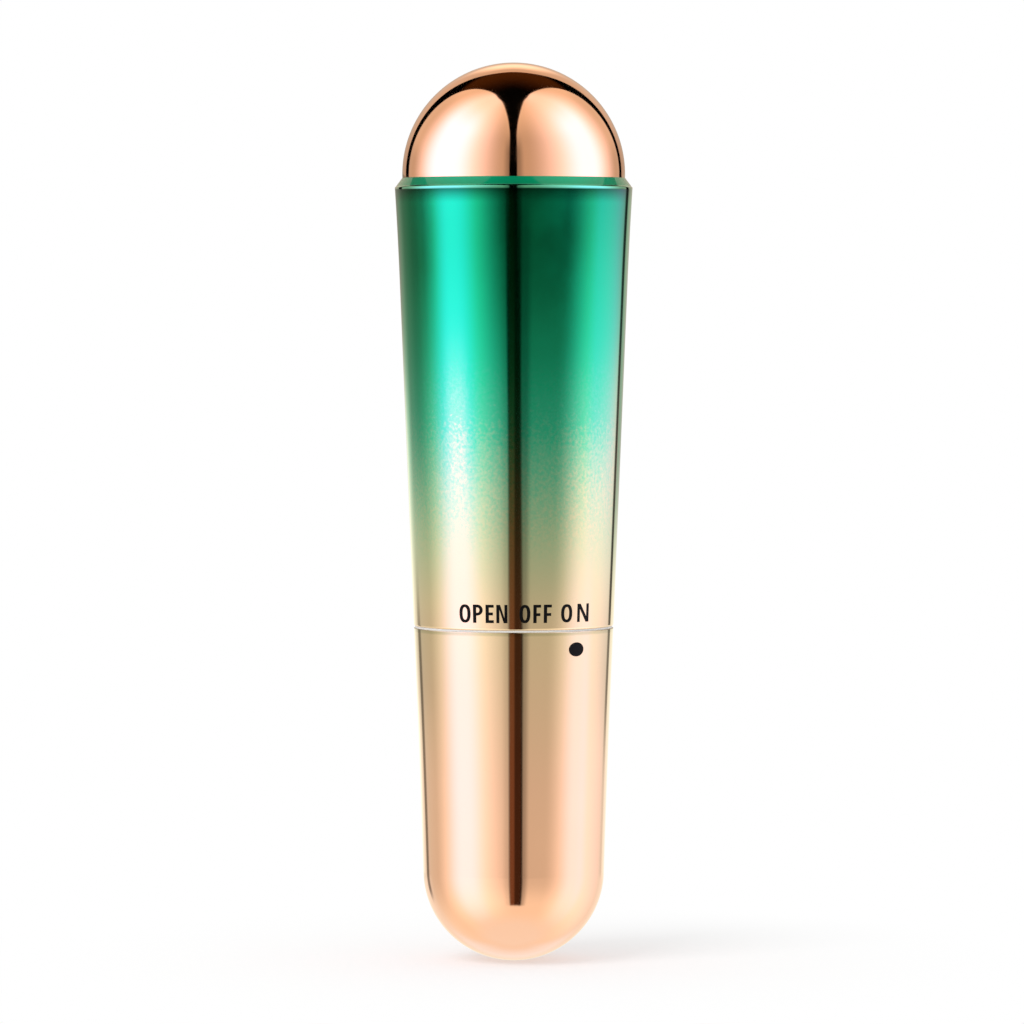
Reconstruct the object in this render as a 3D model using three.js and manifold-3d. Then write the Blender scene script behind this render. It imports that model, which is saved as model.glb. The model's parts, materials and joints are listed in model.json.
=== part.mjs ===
// Eye lift wand: a pocket massage wand with a vibrating dome, which runs on one AAA cell.
// Millimetres, +Z up along the wand. The origin is on the axis, at the lowest point of the lower casing.
// The front, which carries the switch marks, faces -Y. Angles are counted from +X towards +Y.

import * as THREE from "three";
import { mergeVertices } from "three/addons/utils/BufferGeometryUtils.js";
import Module from "manifold-3d";

const wasm = await Module();
wasm.setup();

// Cell: the standard AAA size, which the rest is built around
const cellRadius = 5.2;
const cellLength = 44.5;
const cellNubRadius = 1.9;
const cellNubHeight = 1.1;
const cellBrimRadius = 3.6;
const cellBrimThickness = 0.25;
const cellEndRadius = 4;
const cellEndThickness = 0.3;
const cellEdgeFillet = 0.5;
const cellCrimpDepth = 0.25;
const cellCrimpWidth = 0.9;
const cellCrimpDrop = 2.2;

// Motor: a round vibration motor of 12 mm
const motorRadius = 6;
const motorLength = 16;
const motorWall = 0.5;
const motorEndThickness = 1.2;
const motorBossRadius = 2.5;
const motorBossHeight = 0.8;
const shaftRadius = 0.75;
const shaftClearance = 0.1;
const shaftEndGap = 0.2;
const magnetThickness = 1.1;
const magnetGap = 0.1;
const magnetOverhang = 0.5;
const magnetSpanAngle = 110;
const armatureGap = 0.3;
const armatureFootGap = 0.7;
const armatureHeadGap = 2.7;
const armatureSlotWidth = 1.1;
const armatureSlotDepth = 2;
const armatureSlots = 3;
const commutatorRadius = 1.6;
const commutatorLength = 2;
const commutatorLift = 0.8;
const terminalSpacing = 5.2;
const terminalWidth = 1.6;
const terminalThickness = 0.4;
const terminalLength = 1.6;
const weightRadius = 4.8;
const weightHubRadius = 1.9;
const weightLength = 6;
const weightGap = 2;

// Shells
const shellWall = 1.5;
const fitGap = 0.3;
const seamGap = 0.35;
const rimHeight = 35.6;
const lowerTaper = 0.98;
const lowerWaist = 0.05;
const footStep = 0.02;
const footFillet = 0.45;
const rimFillet = 0.15;
const footLipThickness = 1.35;
const footLipGap = 0.5;
const domeMargin = 3.3;
const domeWall = 1.6;
const domeSeatDrop = 0.4;
const domeReveal = 0.05;
const spigotWall = 1.5;
const spigotLength = 6.5;
const shoulderHeight = 1.1;
const shoulderOverhang = 0.68;
const shoulderFillet = 0.35;
const shoulderStartAngle = 15;
const shoulderEndAngle = 60;
const lipFlare = 0.12;
const lipFlareLength = 10;

// Neck, bayonet and switch ring
const cellClearance = 0.4;
const neckWall = 1.4;
const neckClearance = 0.3;
const lugProud = 0.7;
const lugThickness = 1.5;
const lugAngle = 24;
const lugRunningGap = 0.3;
const ledgeClearance = 0.2;
const channelClearance = 0.4;
const ledgeThickness = 1.7;
const channelSideAngle = 2;
const linerWall = 0.76;
const linerFloor = 1.8;
const linerBoreGap = 1;
const pocketRadius = 4.2;
const pocketDepth = 2.6;
const ringHeight = 2.2;
const ringClearance = 0.4;
const dogLength = 2;
const dogInset = 0.12;
const dogReach = 0.7;
const dogAngle = 14;
const dogSideAngle = 2;
const dogAngles = [-60, -120];
const clipThickness = 0.4;
const clipProud = 0.75;
const clipGrooveDepth = 0.45;
const clipGrooveGap = 0.05;
const clipGapStart = 20;
const clipGapEnd = 103;
const sealSection = 0.84;
const sealGap = 0.13;
const sealDrop = 1.9;
const neckToe = 1.4;
const turnToOpen = 57;

// Contacts and leads
const stripThickness = 0.3;
const stripWidth = 2.8;
const grooveWidth = 3.3;
const grooveGap = 0.15;
const plateRadius = 3.9;
const springTall = 5.45;
const springWire = 0.6;
const springBaseRadius = 3.2;
const springTopRadius = 2;
const springTurns = 4;
const wiperThickness = 0.2;
const wiperWidth = 3;
const wiperSlotDepth = 0.9;
const wiperReach = 1.6;
const contactThickness = 0.35;
const contactGap = 0.25;
const contactRadius = 4;
const contactTailWidth = 1.6;
const contactTailRise = 1.3;
const leadRadius = 0.4;

// Routes of the leads, in shares of a lead's distance from the axis at its terminal, of the neck's radius
// and of the height of the wire space
const positiveLeadShares = [
  [0, -0.13, 0.25],
  [0.06, -0.31, 0.26],
  [0.34, -0.53, 0.33],
  [0.83, -0.56, 0.47],
  [1.11, -0.37, 0.61],
  [1.06, -0.13, 0.69],
  [1, 0.04, 0.72],
];
const negativeLeadShares = [
  [0, 0.86, 0.22],
  [-0.14, 0.71, 0.24],
  [-0.51, 0.59, 0.28],
  [-0.91, 0.46, 0.39],
  [-1.11, 0.27, 0.56],
  [-1.09, 0.11, 0.67],
  [-1, -0.04, 0.72],
];

// Inner frame
const partitionThickness = 1.4;
const partitionHole = 2.2;
const flangeThickness = 1.4;
const wireSpace = 3.6;
const sleeveThickness = 1;
const sleeveGap = 0.1;
const sleeveLength = 11;
const cradleWall = 1.4;
const collarThickness = 1.4;
const collarGap = 0.5;
const collarDrop = 0.8;
const gasketThickness = 1.2;
const gasketWidth = 1.3;
const clampLength = 7;
const earGap = 0.3;
const earThickness = 1.5;
const bossDepth = 2.5;
const splitGap = 0.1;
const screwRadius = 0.5;
const screwHeadRadius = 1;
const screwHeadHeight = 0.8;
const screwSlotWidth = 0.24;
const screwClearance = 0.06;
const screwHeadClearance = 0.25;

// How far a cutting or joining tool runs on, and how near the axis a point counts as on it
const overrun = 0.5;
const axisTolerance = 0.000001;

// Smoothness
const shellSides = 40;
const innerSides = 28;
const smallSides = 14;
const domeSteps = 9;
const innerDomeSteps = 5;
const filletSteps = 3;
const wallSteps = 4;
const springStepsPerTurn = 12;
const wireSides = 6;
const leadSteps = 18;
const sealSides = 8;

// Radii, from the cell outwards
const neckBore = cellRadius + cellClearance;
const neckRadius = neckBore + neckWall;
const linerNeckBore = neckRadius + neckClearance;
const lugRadius = neckRadius + lugProud;
const ledgeRadius = lugRadius + ledgeClearance;
const channelRadius = lugRadius + channelClearance;
const linerBore = cellRadius + linerBoreGap;
const lowerRimRadius = channelRadius + linerWall + fitGap + shellWall;
const lowerEndRadius = lowerRimRadius - lowerTaper;
const upperFootRadius = lowerRimRadius + footStep;
const sleeveBore = motorRadius + sleeveGap;
const sleeveRadius = sleeveBore + sleeveThickness;
const cradleBore = sleeveRadius + sleeveGap;
const cradleRadius = cradleBore + cradleWall;
const domeRadius = cradleRadius + domeMargin;
const upperMouthRadius = domeRadius + shoulderOverhang;
const shoulderRimRadius = domeRadius + domeReveal;

// Heights, from the lower end up
const springSeatZ = shellWall + fitGap + linerFloor;
const cellBottomZ = springSeatZ + stripThickness + springTall + grooveGap;
const cellTopZ = cellBottomZ + cellLength;
const partitionZ = cellTopZ + contactGap + contactThickness;
const wireFloorZ = partitionZ + partitionThickness;
const motorEndZ = wireFloorZ + wireSpace;
const motorCanZ = motorEndZ + motorEndThickness;
const motorTopZ = motorCanZ + motorLength;
const motorMidZ = motorCanZ + motorLength / 2;
const commutatorZ = motorCanZ + commutatorLift;
const armatureZ = commutatorZ + commutatorLength + armatureFootGap;
const armatureTopZ = motorTopZ - motorBossHeight - armatureHeadGap;
const weightZ = motorTopZ + motorBossHeight + weightGap;
const weightTopZ = weightZ + weightLength;
const collarTopZ = motorTopZ - collarDrop;
const collarZ = collarTopZ - collarThickness;
const spigotFootZ = collarTopZ + gasketThickness;
const domeSeatZ = spigotFootZ + spigotLength;
const domeCentreZ = domeSeatZ + domeSeatDrop;
const shoulderZ = domeSeatZ - shoulderHeight;
const footZ = rimHeight + seamGap;
const flangeZ = footZ + footLipThickness;
const ringZ = rimHeight - ringHeight;
const padZ = ringZ - grooveGap;
const clipTopZ = ringZ - fitGap;
const clipZ = clipTopZ - clipThickness;
const linerTopZ = clipZ - fitGap;
const ledgeZ = linerTopZ - ledgeThickness;
const lugTopZ = ledgeZ - lugRunningGap;
const lugZ = lugTopZ - lugThickness;
const channelZ = lugZ - lugRunningGap;
const sealZ = lugZ - sealDrop;
const neckFootZ = sealZ - neckToe;
const linerStepZ = neckFootZ - neckClearance;

// Sizes that follow the inside of the upper casing, which has a taper up to the collar and is straight above it
const mouthBore = upperOuter(collarTopZ) - shellWall;
const spigotRadius = mouthBore - fitGap;
const spigotBore = spigotRadius - spigotWall;
const collarRadius = upperOuter(collarZ) - shellWall - collarGap;
const earBackY = splitGap + bossDepth;
const earCornerRadius = upperOuter(motorMidZ - clampLength / 2) - shellWall - earGap;
const earX = Math.sqrt(earCornerRadius * earCornerRadius - earBackY * earBackY);
const screwX = earX - screwHeadRadius;
const screwFaceY = -earThickness - splitGap;

// Angles of the bayonet: at rest the wand is switched on, and it opens after the turn
const lugMidAngle = -turnToOpen / 2;
const openMidAngle = turnToOpen / 2;
const lugAngles = [0, 180];

// Metals, plastics and rubbers, as plain colours
function finish(color, roughness, metalness) {
  return new THREE.MeshStandardMaterial({ color, roughness, metalness });
}
const emeraldPlate = finish(0x1fae86, 0.2, 0.9);
const roseGoldPlate = finish(0xf2bd98, 0.18, 0.9);
const roseGoldMetal = finish(0xf4b893, 0.08, 1);
const whiteNylon = finish(0xe9e6dd, 0.55, 0);
const ivoryAcetal = finish(0xe0dccb, 0.45, 0);
const blackRubber = finish(0x1c1c1e, 0.8, 0);
const greySilicone = finish(0x8d8f92, 0.7, 0);
const nickelSteel = finish(0xb9bcbf, 0.3, 1);
const springSteel = finish(0xc8cacc, 0.25, 1);
const brass = finish(0xc9a24b, 0.3, 1);
const copper = finish(0xb4673f, 0.35, 1);
const tungsten = finish(0x8b8d91, 0.4, 1);
const ferrite = finish(0x3a3a3c, 0.7, 0);
const redInsulation = finish(0xc22a22, 0.5, 0);
const blackInsulation = finish(0x17171a, 0.5, 0);
const cellWrap = finish(0x2f6f9f, 0.35, 0.2);

// A geometry with shared corners, no flat-out triangles and its faces pointing out
function tidy(source) {
  const bare = source.clone();
  bare.deleteAttribute("normal");
  bare.deleteAttribute("uv");
  const merged = mergeVertices(bare);
  const at = merged.getAttribute("position");
  const faces = merged.getIndex().array;
  const kept = [];
  let volume = 0;
  const [a, b, c] = [new THREE.Vector3(), new THREE.Vector3(), new THREE.Vector3()];
  for (let i = 0; i < faces.length; i += 3) {
    const [p, q, r] = [faces[i], faces[i + 1], faces[i + 2]];
    if (p === q || q === r || r === p) continue;
    kept.push(p, q, r);
    a.fromBufferAttribute(at, p);
    b.fromBufferAttribute(at, q);
    c.fromBufferAttribute(at, r);
    volume += a.dot(b.cross(c));
  }
  if (volume < 0) kept.reverse();
  const solid = new THREE.BufferGeometry();
  solid.setAttribute("position", at);
  solid.setIndex(kept);
  return solid;
}

// Booleans
function toManifold(geometry) {
  const vertProperties = new Float32Array(geometry.getAttribute("position").array);
  const triVerts = new Uint32Array(geometry.getIndex().array);
  return new wasm.Manifold(new wasm.Mesh({ numProp: 3, vertProperties, triVerts }));
}
function fromManifold(manifold) {
  const { vertProperties, triVerts } = manifold.getMesh();
  const geometry = new THREE.BufferGeometry();
  geometry.setAttribute("position", new THREE.BufferAttribute(vertProperties, 3));
  geometry.setIndex(new THREE.BufferAttribute(triVerts, 1));
  return geometry;
}
function join(...geometries) {
  return fromManifold(geometries.map(toManifold).reduce((whole, part) => whole.add(part)));
}
function cut(base, ...tools) {
  return fromManifold(tools.map(toManifold).reduce((rest, tool) => rest.subtract(tool), toManifold(base)));
}

// Turns an outline of [radius, height] points about the wand's axis
function turned(outline, sides) {
  const onAxis = (radius) => (radius > axisTolerance ? radius : 0);
  const points = outline.map(([radius, height]) => new THREE.Vector2(onAxis(radius), height));
  const first = points[0];
  const last = points[points.length - 1];
  if (first.x > 0 || last.x > 0) points.push(first.clone());
  const geometry = new THREE.LatheGeometry(points, sides);
  geometry.rotateX(Math.PI / 2);
  return tidy(geometry);
}

// A plain ring with a rectangular section
function ring(inner, outer, bottom, top, sides) {
  return turned([[inner, bottom], [outer, bottom], [outer, top], [inner, top]], sides);
}

// A disc or rod on the wand's axis
function disc(radius, bottom, top, sides) {
  return turned([[0, bottom], [radius, bottom], [radius, top], [0, top]], sides);
}

// A stretch of a ring, from one angle to another in degrees
function sector(inner, outer, bottom, top, startAngle, endAngle) {
  const [from, to] = [startAngle, endAngle].map(THREE.MathUtils.degToRad);
  const shape = new THREE.Shape();
  shape.absarc(0, 0, outer, from, to, false);
  shape.absarc(0, 0, inner, to, from, true);
  const turnShare = (endAngle - startAngle) / 360;
  const curveSegments = Math.max(filletSteps, Math.ceil(innerSides * turnShare));
  const depth = top - bottom;
  const geometry = new THREE.ExtrudeGeometry(shape, { depth, bevelEnabled: false, curveSegments });
  geometry.translate(0, 0, bottom);
  return tidy(geometry);
}

// A block between two corners
function block([x0, y0, z0], [x1, y1, z1]) {
  const geometry = new THREE.BoxGeometry(x1 - x0, y1 - y0, z1 - z0);
  geometry.translate((x0 + x1) / 2, (y0 + y1) / 2, (z0 + z1) / 2);
  return tidy(geometry);
}

// One of the two ears that the clamp's screws go through, from one depth to another
function ear(side, fromY, toY) {
  const [x0, x1] = [side * cradleBore, side * earX].sort((a, b) => a - b);
  return block([x0, fromY, motorMidZ - clampLength / 2], [x1, toY, motorMidZ + clampLength / 2]);
}

// A rod along Y, as screws and their holes need
function rodAlongY(radius, x, z, fromY, toY) {
  const geometry = new THREE.CylinderGeometry(radius, radius, toY - fromY, smallSides);
  geometry.translate(x, (fromY + toY) / 2, z);
  return tidy(geometry);
}

// The outline of a thin strip that follows a bent line, half its thickness to each side
function stripOutline(line, thickness) {
  const at = line.map(([x, y]) => new THREE.Vector2(x, y));
  const side = (from, to) => to.clone().sub(from).normalize().rotateAround(new THREE.Vector2(), Math.PI / 2);
  const offsets = at.map((point, i) => {
    const before = side(at[Math.max(i - 1, 0)], at[Math.max(i, 1)]);
    const after = side(at[Math.min(i, at.length - 2)], at[Math.min(i + 1, at.length - 1)]);
    const mitre = before.clone().add(after).normalize();
    return mitre.multiplyScalar(thickness / 2 / mitre.dot(before));
  });
  const left = at.map((point, i) => point.clone().add(offsets[i]));
  const right = at.map((point, i) => point.clone().sub(offsets[i]));
  return [...left, ...right.reverse()];
}

// How far from the axis the outer face of a flat strip lies, when its corners just reach a radius
function flatWithin(radius) {
  return Math.sqrt(radius * radius - (stripWidth * stripWidth) / 4);
}

// A bent metal strip on the back of the wand: its line is given as [distance from the axis, height]
function backStrip(line, thickness, width) {
  const shape = new THREE.Shape(stripOutline(line, thickness));
  const geometry = new THREE.ExtrudeGeometry(shape, { depth: width, bevelEnabled: false });
  geometry.translate(0, 0, -width / 2);
  // the strip's own x, y and z become the wand's y, z and x
  const toWand = new THREE.Matrix4().makeBasis(
    new THREE.Vector3(0, 1, 0),
    new THREE.Vector3(0, 0, 1),
    new THREE.Vector3(1, 0, 0),
  );
  geometry.applyMatrix4(toWand);
  return tidy(geometry);
}

// A round wire or lead along a curve
function wire(curve, radius, steps, sides) {
  const section = new THREE.Shape();
  for (let i = 0; i < sides; i += 1) {
    const turn = (2 * Math.PI * i) / sides;
    const [x, y] = [radius * Math.cos(turn), radius * Math.sin(turn)];
    if (i === 0) section.moveTo(x, y);
    else section.lineTo(x, y);
  }
  section.closePath();
  return tidy(new THREE.ExtrudeGeometry(section, { steps, bevelEnabled: false, extrudePath: curve }));
}

// Points of an arc in the turning plane, from one angle to another in degrees
function arc(centreRadius, centreZ, radius, startAngle, endAngle, steps) {
  return Array.from({ length: steps + 1 }, (_, i) => {
    const angle = THREE.MathUtils.degToRad(startAngle + ((endAngle - startAngle) * i) / steps);
    return [centreRadius + radius * Math.cos(angle), centreZ + radius * Math.sin(angle)];
  });
}

// Evenly spaced heights, both ends included
function heights(bottom, top, steps) {
  return Array.from({ length: steps + 1 }, (_, i) => bottom + ((top - bottom) * i) / steps);
}

// The outside of the lower casing: a slightly waisted taper above a round end
function lowerOuter(z) {
  const along = (z - lowerEndRadius) / (rimHeight - lowerEndRadius);
  return lowerEndRadius + lowerTaper * along - lowerWaist * 4 * along * (1 - along);
}

// The outside of the upper casing: a straight taper that flares a little under the shoulder
function upperOuter(z) {
  const along = (z - footZ) / (shoulderZ - footZ);
  const flare = Math.max(0, (z - shoulderZ + lipFlareLength) / lipFlareLength);
  return upperFootRadius + (upperMouthRadius - upperFootRadius) * along + lipFlare * flare * flare;
}

function makeLowerCasing() {
  const end = arc(0, lowerEndRadius, lowerEndRadius, -90, 0, domeSteps);
  const outside = heights(lowerEndRadius, rimHeight - rimFillet, wallSteps).slice(1);
  const wall = outside.map((z) => [lowerOuter(z), z]);
  const rim = arc(lowerRimRadius - rimFillet, rimHeight - rimFillet, rimFillet, 0, 90, filletSteps).slice(1);
  const inside = heights(lowerEndRadius, rimHeight, wallSteps).reverse();
  const innerWall = inside.map((z) => [lowerOuter(z) - shellWall, z]);
  const innerEnd = arc(0, lowerEndRadius, lowerEndRadius - shellWall, 0, -90, innerDomeSteps).slice(1);
  return turned([...end, ...wall, ...rim, ...innerWall, ...innerEnd], shellSides);
}

// A cup inside the lower casing, with the cell's bore, the spring's pocket and the bayonet's channels
function makeCasingLiner() {
  const skin = shellWall + fitGap;
  const outside = heights(lowerEndRadius, linerTopZ, wallSteps).slice(1).map((z) => [lowerOuter(z) - skin, z]);
  const outline = [
    ...arc(0, lowerEndRadius, lowerEndRadius - skin, -90, 0, innerDomeSteps),
    ...outside,
    [linerNeckBore, linerTopZ],
    [linerNeckBore, linerStepZ],
    [linerBore, linerStepZ],
    [linerBore, springSeatZ + pocketDepth],
    [pocketRadius, springSeatZ + pocketDepth],
    [pocketRadius, springSeatZ],
    [0, springSeatZ],
  ];
  const cup = turned(outline, innerSides);
  const halfLug = lugAngle / 2 + channelSideAngle;
  const topZ = linerTopZ + overrun;
  const cuts = lugAngles.flatMap((angle) => {
    const start = angle + lugMidAngle - halfLug;
    const openStart = angle + openMidAngle - halfLug;
    const end = angle + openMidAngle + halfLug;
    return [
      sector(neckRadius, channelRadius, channelZ, ledgeZ, start, end),
      sector(neckRadius, ledgeRadius, channelZ, topZ, start, end),
      sector(neckRadius, channelRadius, channelZ, topZ, openStart, end),
    ];
  });
  const halfDog = dogAngle / 2 + dogSideAngle;
  const notchZ = ringZ - dogLength - fitGap;
  const notches = dogAngles.map((angle) =>
    sector(neckRadius, lowerRimRadius, notchZ, topZ, angle - halfDog, angle + halfDog));
  const grooveDepth = grooveGap + stripThickness + grooveGap;
  const groove = block(
    [-grooveWidth / 2, cellRadius, linerStepZ - grooveDepth],
    [grooveWidth / 2, linerNeckBore + grooveDepth, topZ],
  );
  return cut(cup, ...cuts, ...notches, groove);
}

// The negative contact: a plate under the spring, and a strip that climbs the liner's back to the switch ring
function makeSpringPlate() {
  const half = stripThickness / 2;
  const plateZ = springSeatZ + half;
  const pocketX = flatWithin(pocketRadius - grooveGap) - half;
  const shoulderLevel = springSeatZ + pocketDepth + grooveGap + half;
  const boreX = flatWithin(linerBore - grooveGap) - half;
  const jogZ = linerStepZ - grooveGap - half;
  const neckX = linerNeckBore + grooveGap + half;
  const strip = backStrip(
    [
      [plateRadius / 2, plateZ],
      [pocketX, plateZ],
      [pocketX, shoulderLevel],
      [boreX, shoulderLevel],
      [boreX, jogZ],
      [neckX, jogZ],
      [neckX, clipTopZ],
    ],
    stripThickness,
    stripWidth,
  );
  return join(disc(plateRadius, springSeatZ, springSeatZ + stripThickness, innerSides), strip);
}

// A conical spring: its coils shrink towards the cell
class SpringCurve extends THREE.Curve {
  getPoint(share, target = new THREE.Vector3()) {
    const turn = 2 * Math.PI * springTurns * share;
    const radius = THREE.MathUtils.lerp(springBaseRadius, springTopRadius, share);
    const bottom = springSeatZ + stripThickness + springWire / 2 + grooveGap;
    const top = cellBottomZ - springWire / 2 - grooveGap;
    const height = THREE.MathUtils.lerp(bottom, top, share);
    return target.set(radius * Math.cos(turn), radius * Math.sin(turn), height);
  }
}

function makeBatterySpring() {
  return wire(new SpringCurve(), springWire / 2, springTurns * springStepsPerTurn, wireSides);
}

function makeBatteryCell() {
  const bottom = cellBottomZ + cellEndThickness;
  const top = cellTopZ - cellNubHeight;
  const crimpTop = top - cellCrimpDrop;
  const crimpFoot = crimpTop - cellCrimpWidth;
  const crimpRadius = cellRadius - cellCrimpDepth;
  const inset = cellRadius - cellEdgeFillet;
  return turned(
    [
      [0, bottom],
      ...arc(inset, bottom + cellEdgeFillet, cellEdgeFillet, -90, 0, filletSteps),
      [cellRadius, crimpFoot],
      [crimpRadius, (crimpFoot + crimpTop) / 2],
      [cellRadius, crimpTop],
      ...arc(inset, top - cellEdgeFillet, cellEdgeFillet, 0, 90, filletSteps),
      [0, top],
    ],
    innerSides,
  );
}

function makeBatteryPositiveCap() {
  const bottom = cellTopZ - cellNubHeight;
  const brimTop = bottom + cellBrimThickness;
  return turned(
    [[0, bottom], [cellBrimRadius, bottom], [cellBrimRadius, brimTop],
      [cellNubRadius, brimTop], [cellNubRadius, cellTopZ], [0, cellTopZ]],
    innerSides,
  );
}

function makeBatteryNegativeCap() {
  return disc(cellEndRadius, cellBottomZ, cellBottomZ + cellEndThickness, innerSides);
}

// The upper casing: taper, shoulder and mouth outside, and a lip at the foot that the frame sits on
function makeUpperCasing() {
  const footRound = arc(upperFootRadius - footFillet, footZ + footFillet, footFillet, -90, 0, filletSteps);
  const bulk = heights(footZ + footFillet, shoulderZ - shoulderFillet, wallSteps + 1);
  const wall = bulk.slice(1).map((z) => [upperOuter(z), z]);
  const brow = upperOuter(shoulderZ) - shoulderFillet;
  const shoulderRound = arc(brow, shoulderZ, shoulderFillet, shoulderStartAngle, shoulderEndAngle, filletSteps);
  const inside = heights(flangeZ, collarTopZ, wallSteps).reverse();
  return turned(
    [
      [neckRadius + footLipGap, footZ],
      ...footRound,
      ...wall,
      ...shoulderRound,
      [shoulderRimRadius, domeSeatZ],
      [mouthBore, domeSeatZ],
      ...inside.map((z) => [upperOuter(z) - shellWall, z]),
      [neckRadius + footLipGap, flangeZ],
    ],
    shellSides,
  );
}

function makeMassageHead() {
  const seatAngle = -THREE.MathUtils.radToDeg(Math.asin(domeSeatDrop / domeRadius));
  const innerRadius = domeRadius - domeWall;
  const boreAngle = THREE.MathUtils.radToDeg(Math.acos(spigotBore / innerRadius));
  return turned(
    [
      ...arc(0, domeCentreZ, domeRadius, 90, seatAngle, domeSteps),
      [spigotRadius, domeSeatZ],
      [spigotRadius, spigotFootZ],
      [spigotBore, spigotFootZ],
      ...arc(0, domeCentreZ, innerRadius, boreAngle, 90, innerDomeSteps),
    ],
    shellSides,
  );
}

function makeHeadGasket() {
  return ring(spigotRadius - gasketWidth, spigotRadius, collarTopZ, spigotFootZ, innerSides);
}

// The inner frame in one moulding: neck, cell tube, partition, motor cradle and collar
function makeInnerFrame() {
  const sealBore = linerNeckBore - sealGap - sealSection - sealGap;
  const sealHalf = sealSection / 2 + sealGap;
  const clipBore = neckRadius - clipGrooveDepth;
  const flangeRadius = upperFootRadius - shellWall - fitGap;
  const body = turned(
    [
      [neckBore, neckFootZ],
      [neckRadius, neckFootZ],
      [neckRadius, sealZ - sealHalf],
      [sealBore, sealZ - sealHalf],
      [sealBore, sealZ + sealHalf],
      [neckRadius, sealZ + sealHalf],
      [neckRadius, clipZ - clipGrooveGap],
      [clipBore, clipZ - clipGrooveGap],
      [clipBore, clipTopZ + clipGrooveGap],
      [neckRadius, clipTopZ + clipGrooveGap],
      [neckRadius, flangeZ],
      [flangeRadius, flangeZ],
      [flangeRadius, flangeZ + flangeThickness],
      [neckRadius, flangeZ + flangeThickness],
      [neckRadius, partitionZ],
      [cradleRadius, partitionZ],
      [cradleRadius, wireFloorZ],
      [partitionHole, wireFloorZ],
      [partitionHole, partitionZ],
      [neckBore, partitionZ],
    ],
    innerSides,
  );
  const lugs = lugAngles.map((angle) => {
    const middle = angle + lugMidAngle;
    return sector(neckRadius - overrun, lugRadius, lugZ, lugTopZ, middle - lugAngle / 2, middle + lugAngle / 2);
  });
  const cradle = sector(cradleBore, cradleRadius, wireFloorZ - overrun, collarZ + overrun, 0, 180);
  const collar = ring(cradleBore, collarRadius, collarZ, collarTopZ, innerSides);
  const bosses = [1, -1].map((side) => ear(side, splitGap, earBackY));
  const bore = disc(cradleBore, wireFloorZ, collarTopZ + overrun, innerSides);
  const holeRadius = screwRadius + screwClearance;
  const holes = [1, -1].map((side) =>
    rodAlongY(holeRadius, side * screwX, motorMidZ, -overrun, earBackY + overrun));
  const stripFloor = flatWithin(neckRadius) - stripThickness - grooveGap;
  const groove = block(
    [-grooveWidth / 2, stripFloor, padZ - grooveGap],
    [grooveWidth / 2, cradleBore, wireFloorZ + overrun],
  );
  return cut(join(body, ...lugs, cradle, collar, ...bosses), bore, ...holes, groove);
}

// The other half of the motor's cradle, held by two screws
function makeMotorClamp() {
  const [bottom, top] = [motorMidZ - clampLength / 2, motorMidZ + clampLength / 2];
  const half = sector(cradleBore, cradleRadius, bottom, top, 180, 360);
  const ears = [1, -1].map((side) => ear(side, screwFaceY, -splitGap));
  const split = block([-earX, -splitGap, bottom - overrun], [earX, splitGap, top + overrun]);
  const bore = disc(cradleBore, bottom - overrun, top + overrun, innerSides);
  const holes = [1, -1].flatMap((side) => [
    rodAlongY(screwRadius + screwClearance, side * screwX, motorMidZ, screwFaceY - overrun, overrun),
    rodAlongY(screwHeadRadius + screwHeadClearance, side * screwX, motorMidZ, -cradleRadius, screwFaceY),
  ]);
  return cut(join(half, ...ears), split, bore, ...holes);
}

function makeClampScrew(side) {
  const headY = screwFaceY - screwHeadHeight;
  const shank = rodAlongY(screwRadius, side * screwX, motorMidZ, headY + screwHeadHeight / 2, bossDepth);
  const head = rodAlongY(screwHeadRadius, side * screwX, motorMidZ, headY, screwFaceY);
  const slot = block(
    [side * screwX - screwHeadRadius, headY - overrun, motorMidZ - screwSlotWidth / 2],
    [side * screwX + screwHeadRadius, headY + screwHeadHeight / 2, motorMidZ + screwSlotWidth / 2],
  );
  return cut(join(shank, head), slot);
}

function makeMotorSleeve() {
  return ring(sleeveBore, sleeveRadius, motorMidZ - sleeveLength / 2, motorMidZ + sleeveLength / 2, innerSides);
}

function makeMotorCan() {
  const bore = shaftRadius + shaftClearance;
  const inner = motorRadius - motorWall;
  const ceiling = motorTopZ - motorBossHeight;
  return turned(
    [
      [inner, motorCanZ],
      [motorRadius, motorCanZ],
      [motorRadius, motorTopZ - motorWall],
      [motorRadius - motorWall, motorTopZ],
      [motorBossRadius, motorTopZ],
      [motorBossRadius, motorTopZ + motorBossHeight],
      [bore, motorTopZ + motorBossHeight],
      [bore, ceiling],
      [inner, ceiling],
    ],
    innerSides,
  );
}

function makeMotorEndCap() {
  return disc(motorRadius, motorEndZ, motorCanZ, innerSides);
}

function makeMotorMagnet(middleAngle) {
  const outer = motorRadius - motorWall - magnetGap;
  const [bottom, top] = [armatureZ - magnetOverhang, armatureTopZ + magnetOverhang];
  const [start, end] = [middleAngle - magnetSpanAngle / 2, middleAngle + magnetSpanAngle / 2];
  return sector(outer - magnetThickness, outer, bottom, top, start, end);
}

function makeMotorArmature() {
  const outer = motorRadius - motorWall - magnetGap - magnetThickness - armatureGap;
  const stack = ring(shaftRadius + shaftClearance / 2, outer, armatureZ, armatureTopZ, innerSides);
  const slots = Array.from({ length: armatureSlots }, (_, i) => {
    const slot = block(
      [outer - armatureSlotDepth, -armatureSlotWidth / 2, armatureZ - overrun],
      [outer + overrun, armatureSlotWidth / 2, armatureTopZ + overrun],
    );
    slot.rotateZ((2 * Math.PI * i) / armatureSlots);
    return slot;
  });
  return cut(stack, ...slots);
}

function makeMotorCommutator() {
  const bore = shaftRadius + shaftClearance / 2;
  return ring(bore, commutatorRadius, commutatorZ, commutatorZ + commutatorLength, smallSides);
}

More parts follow.
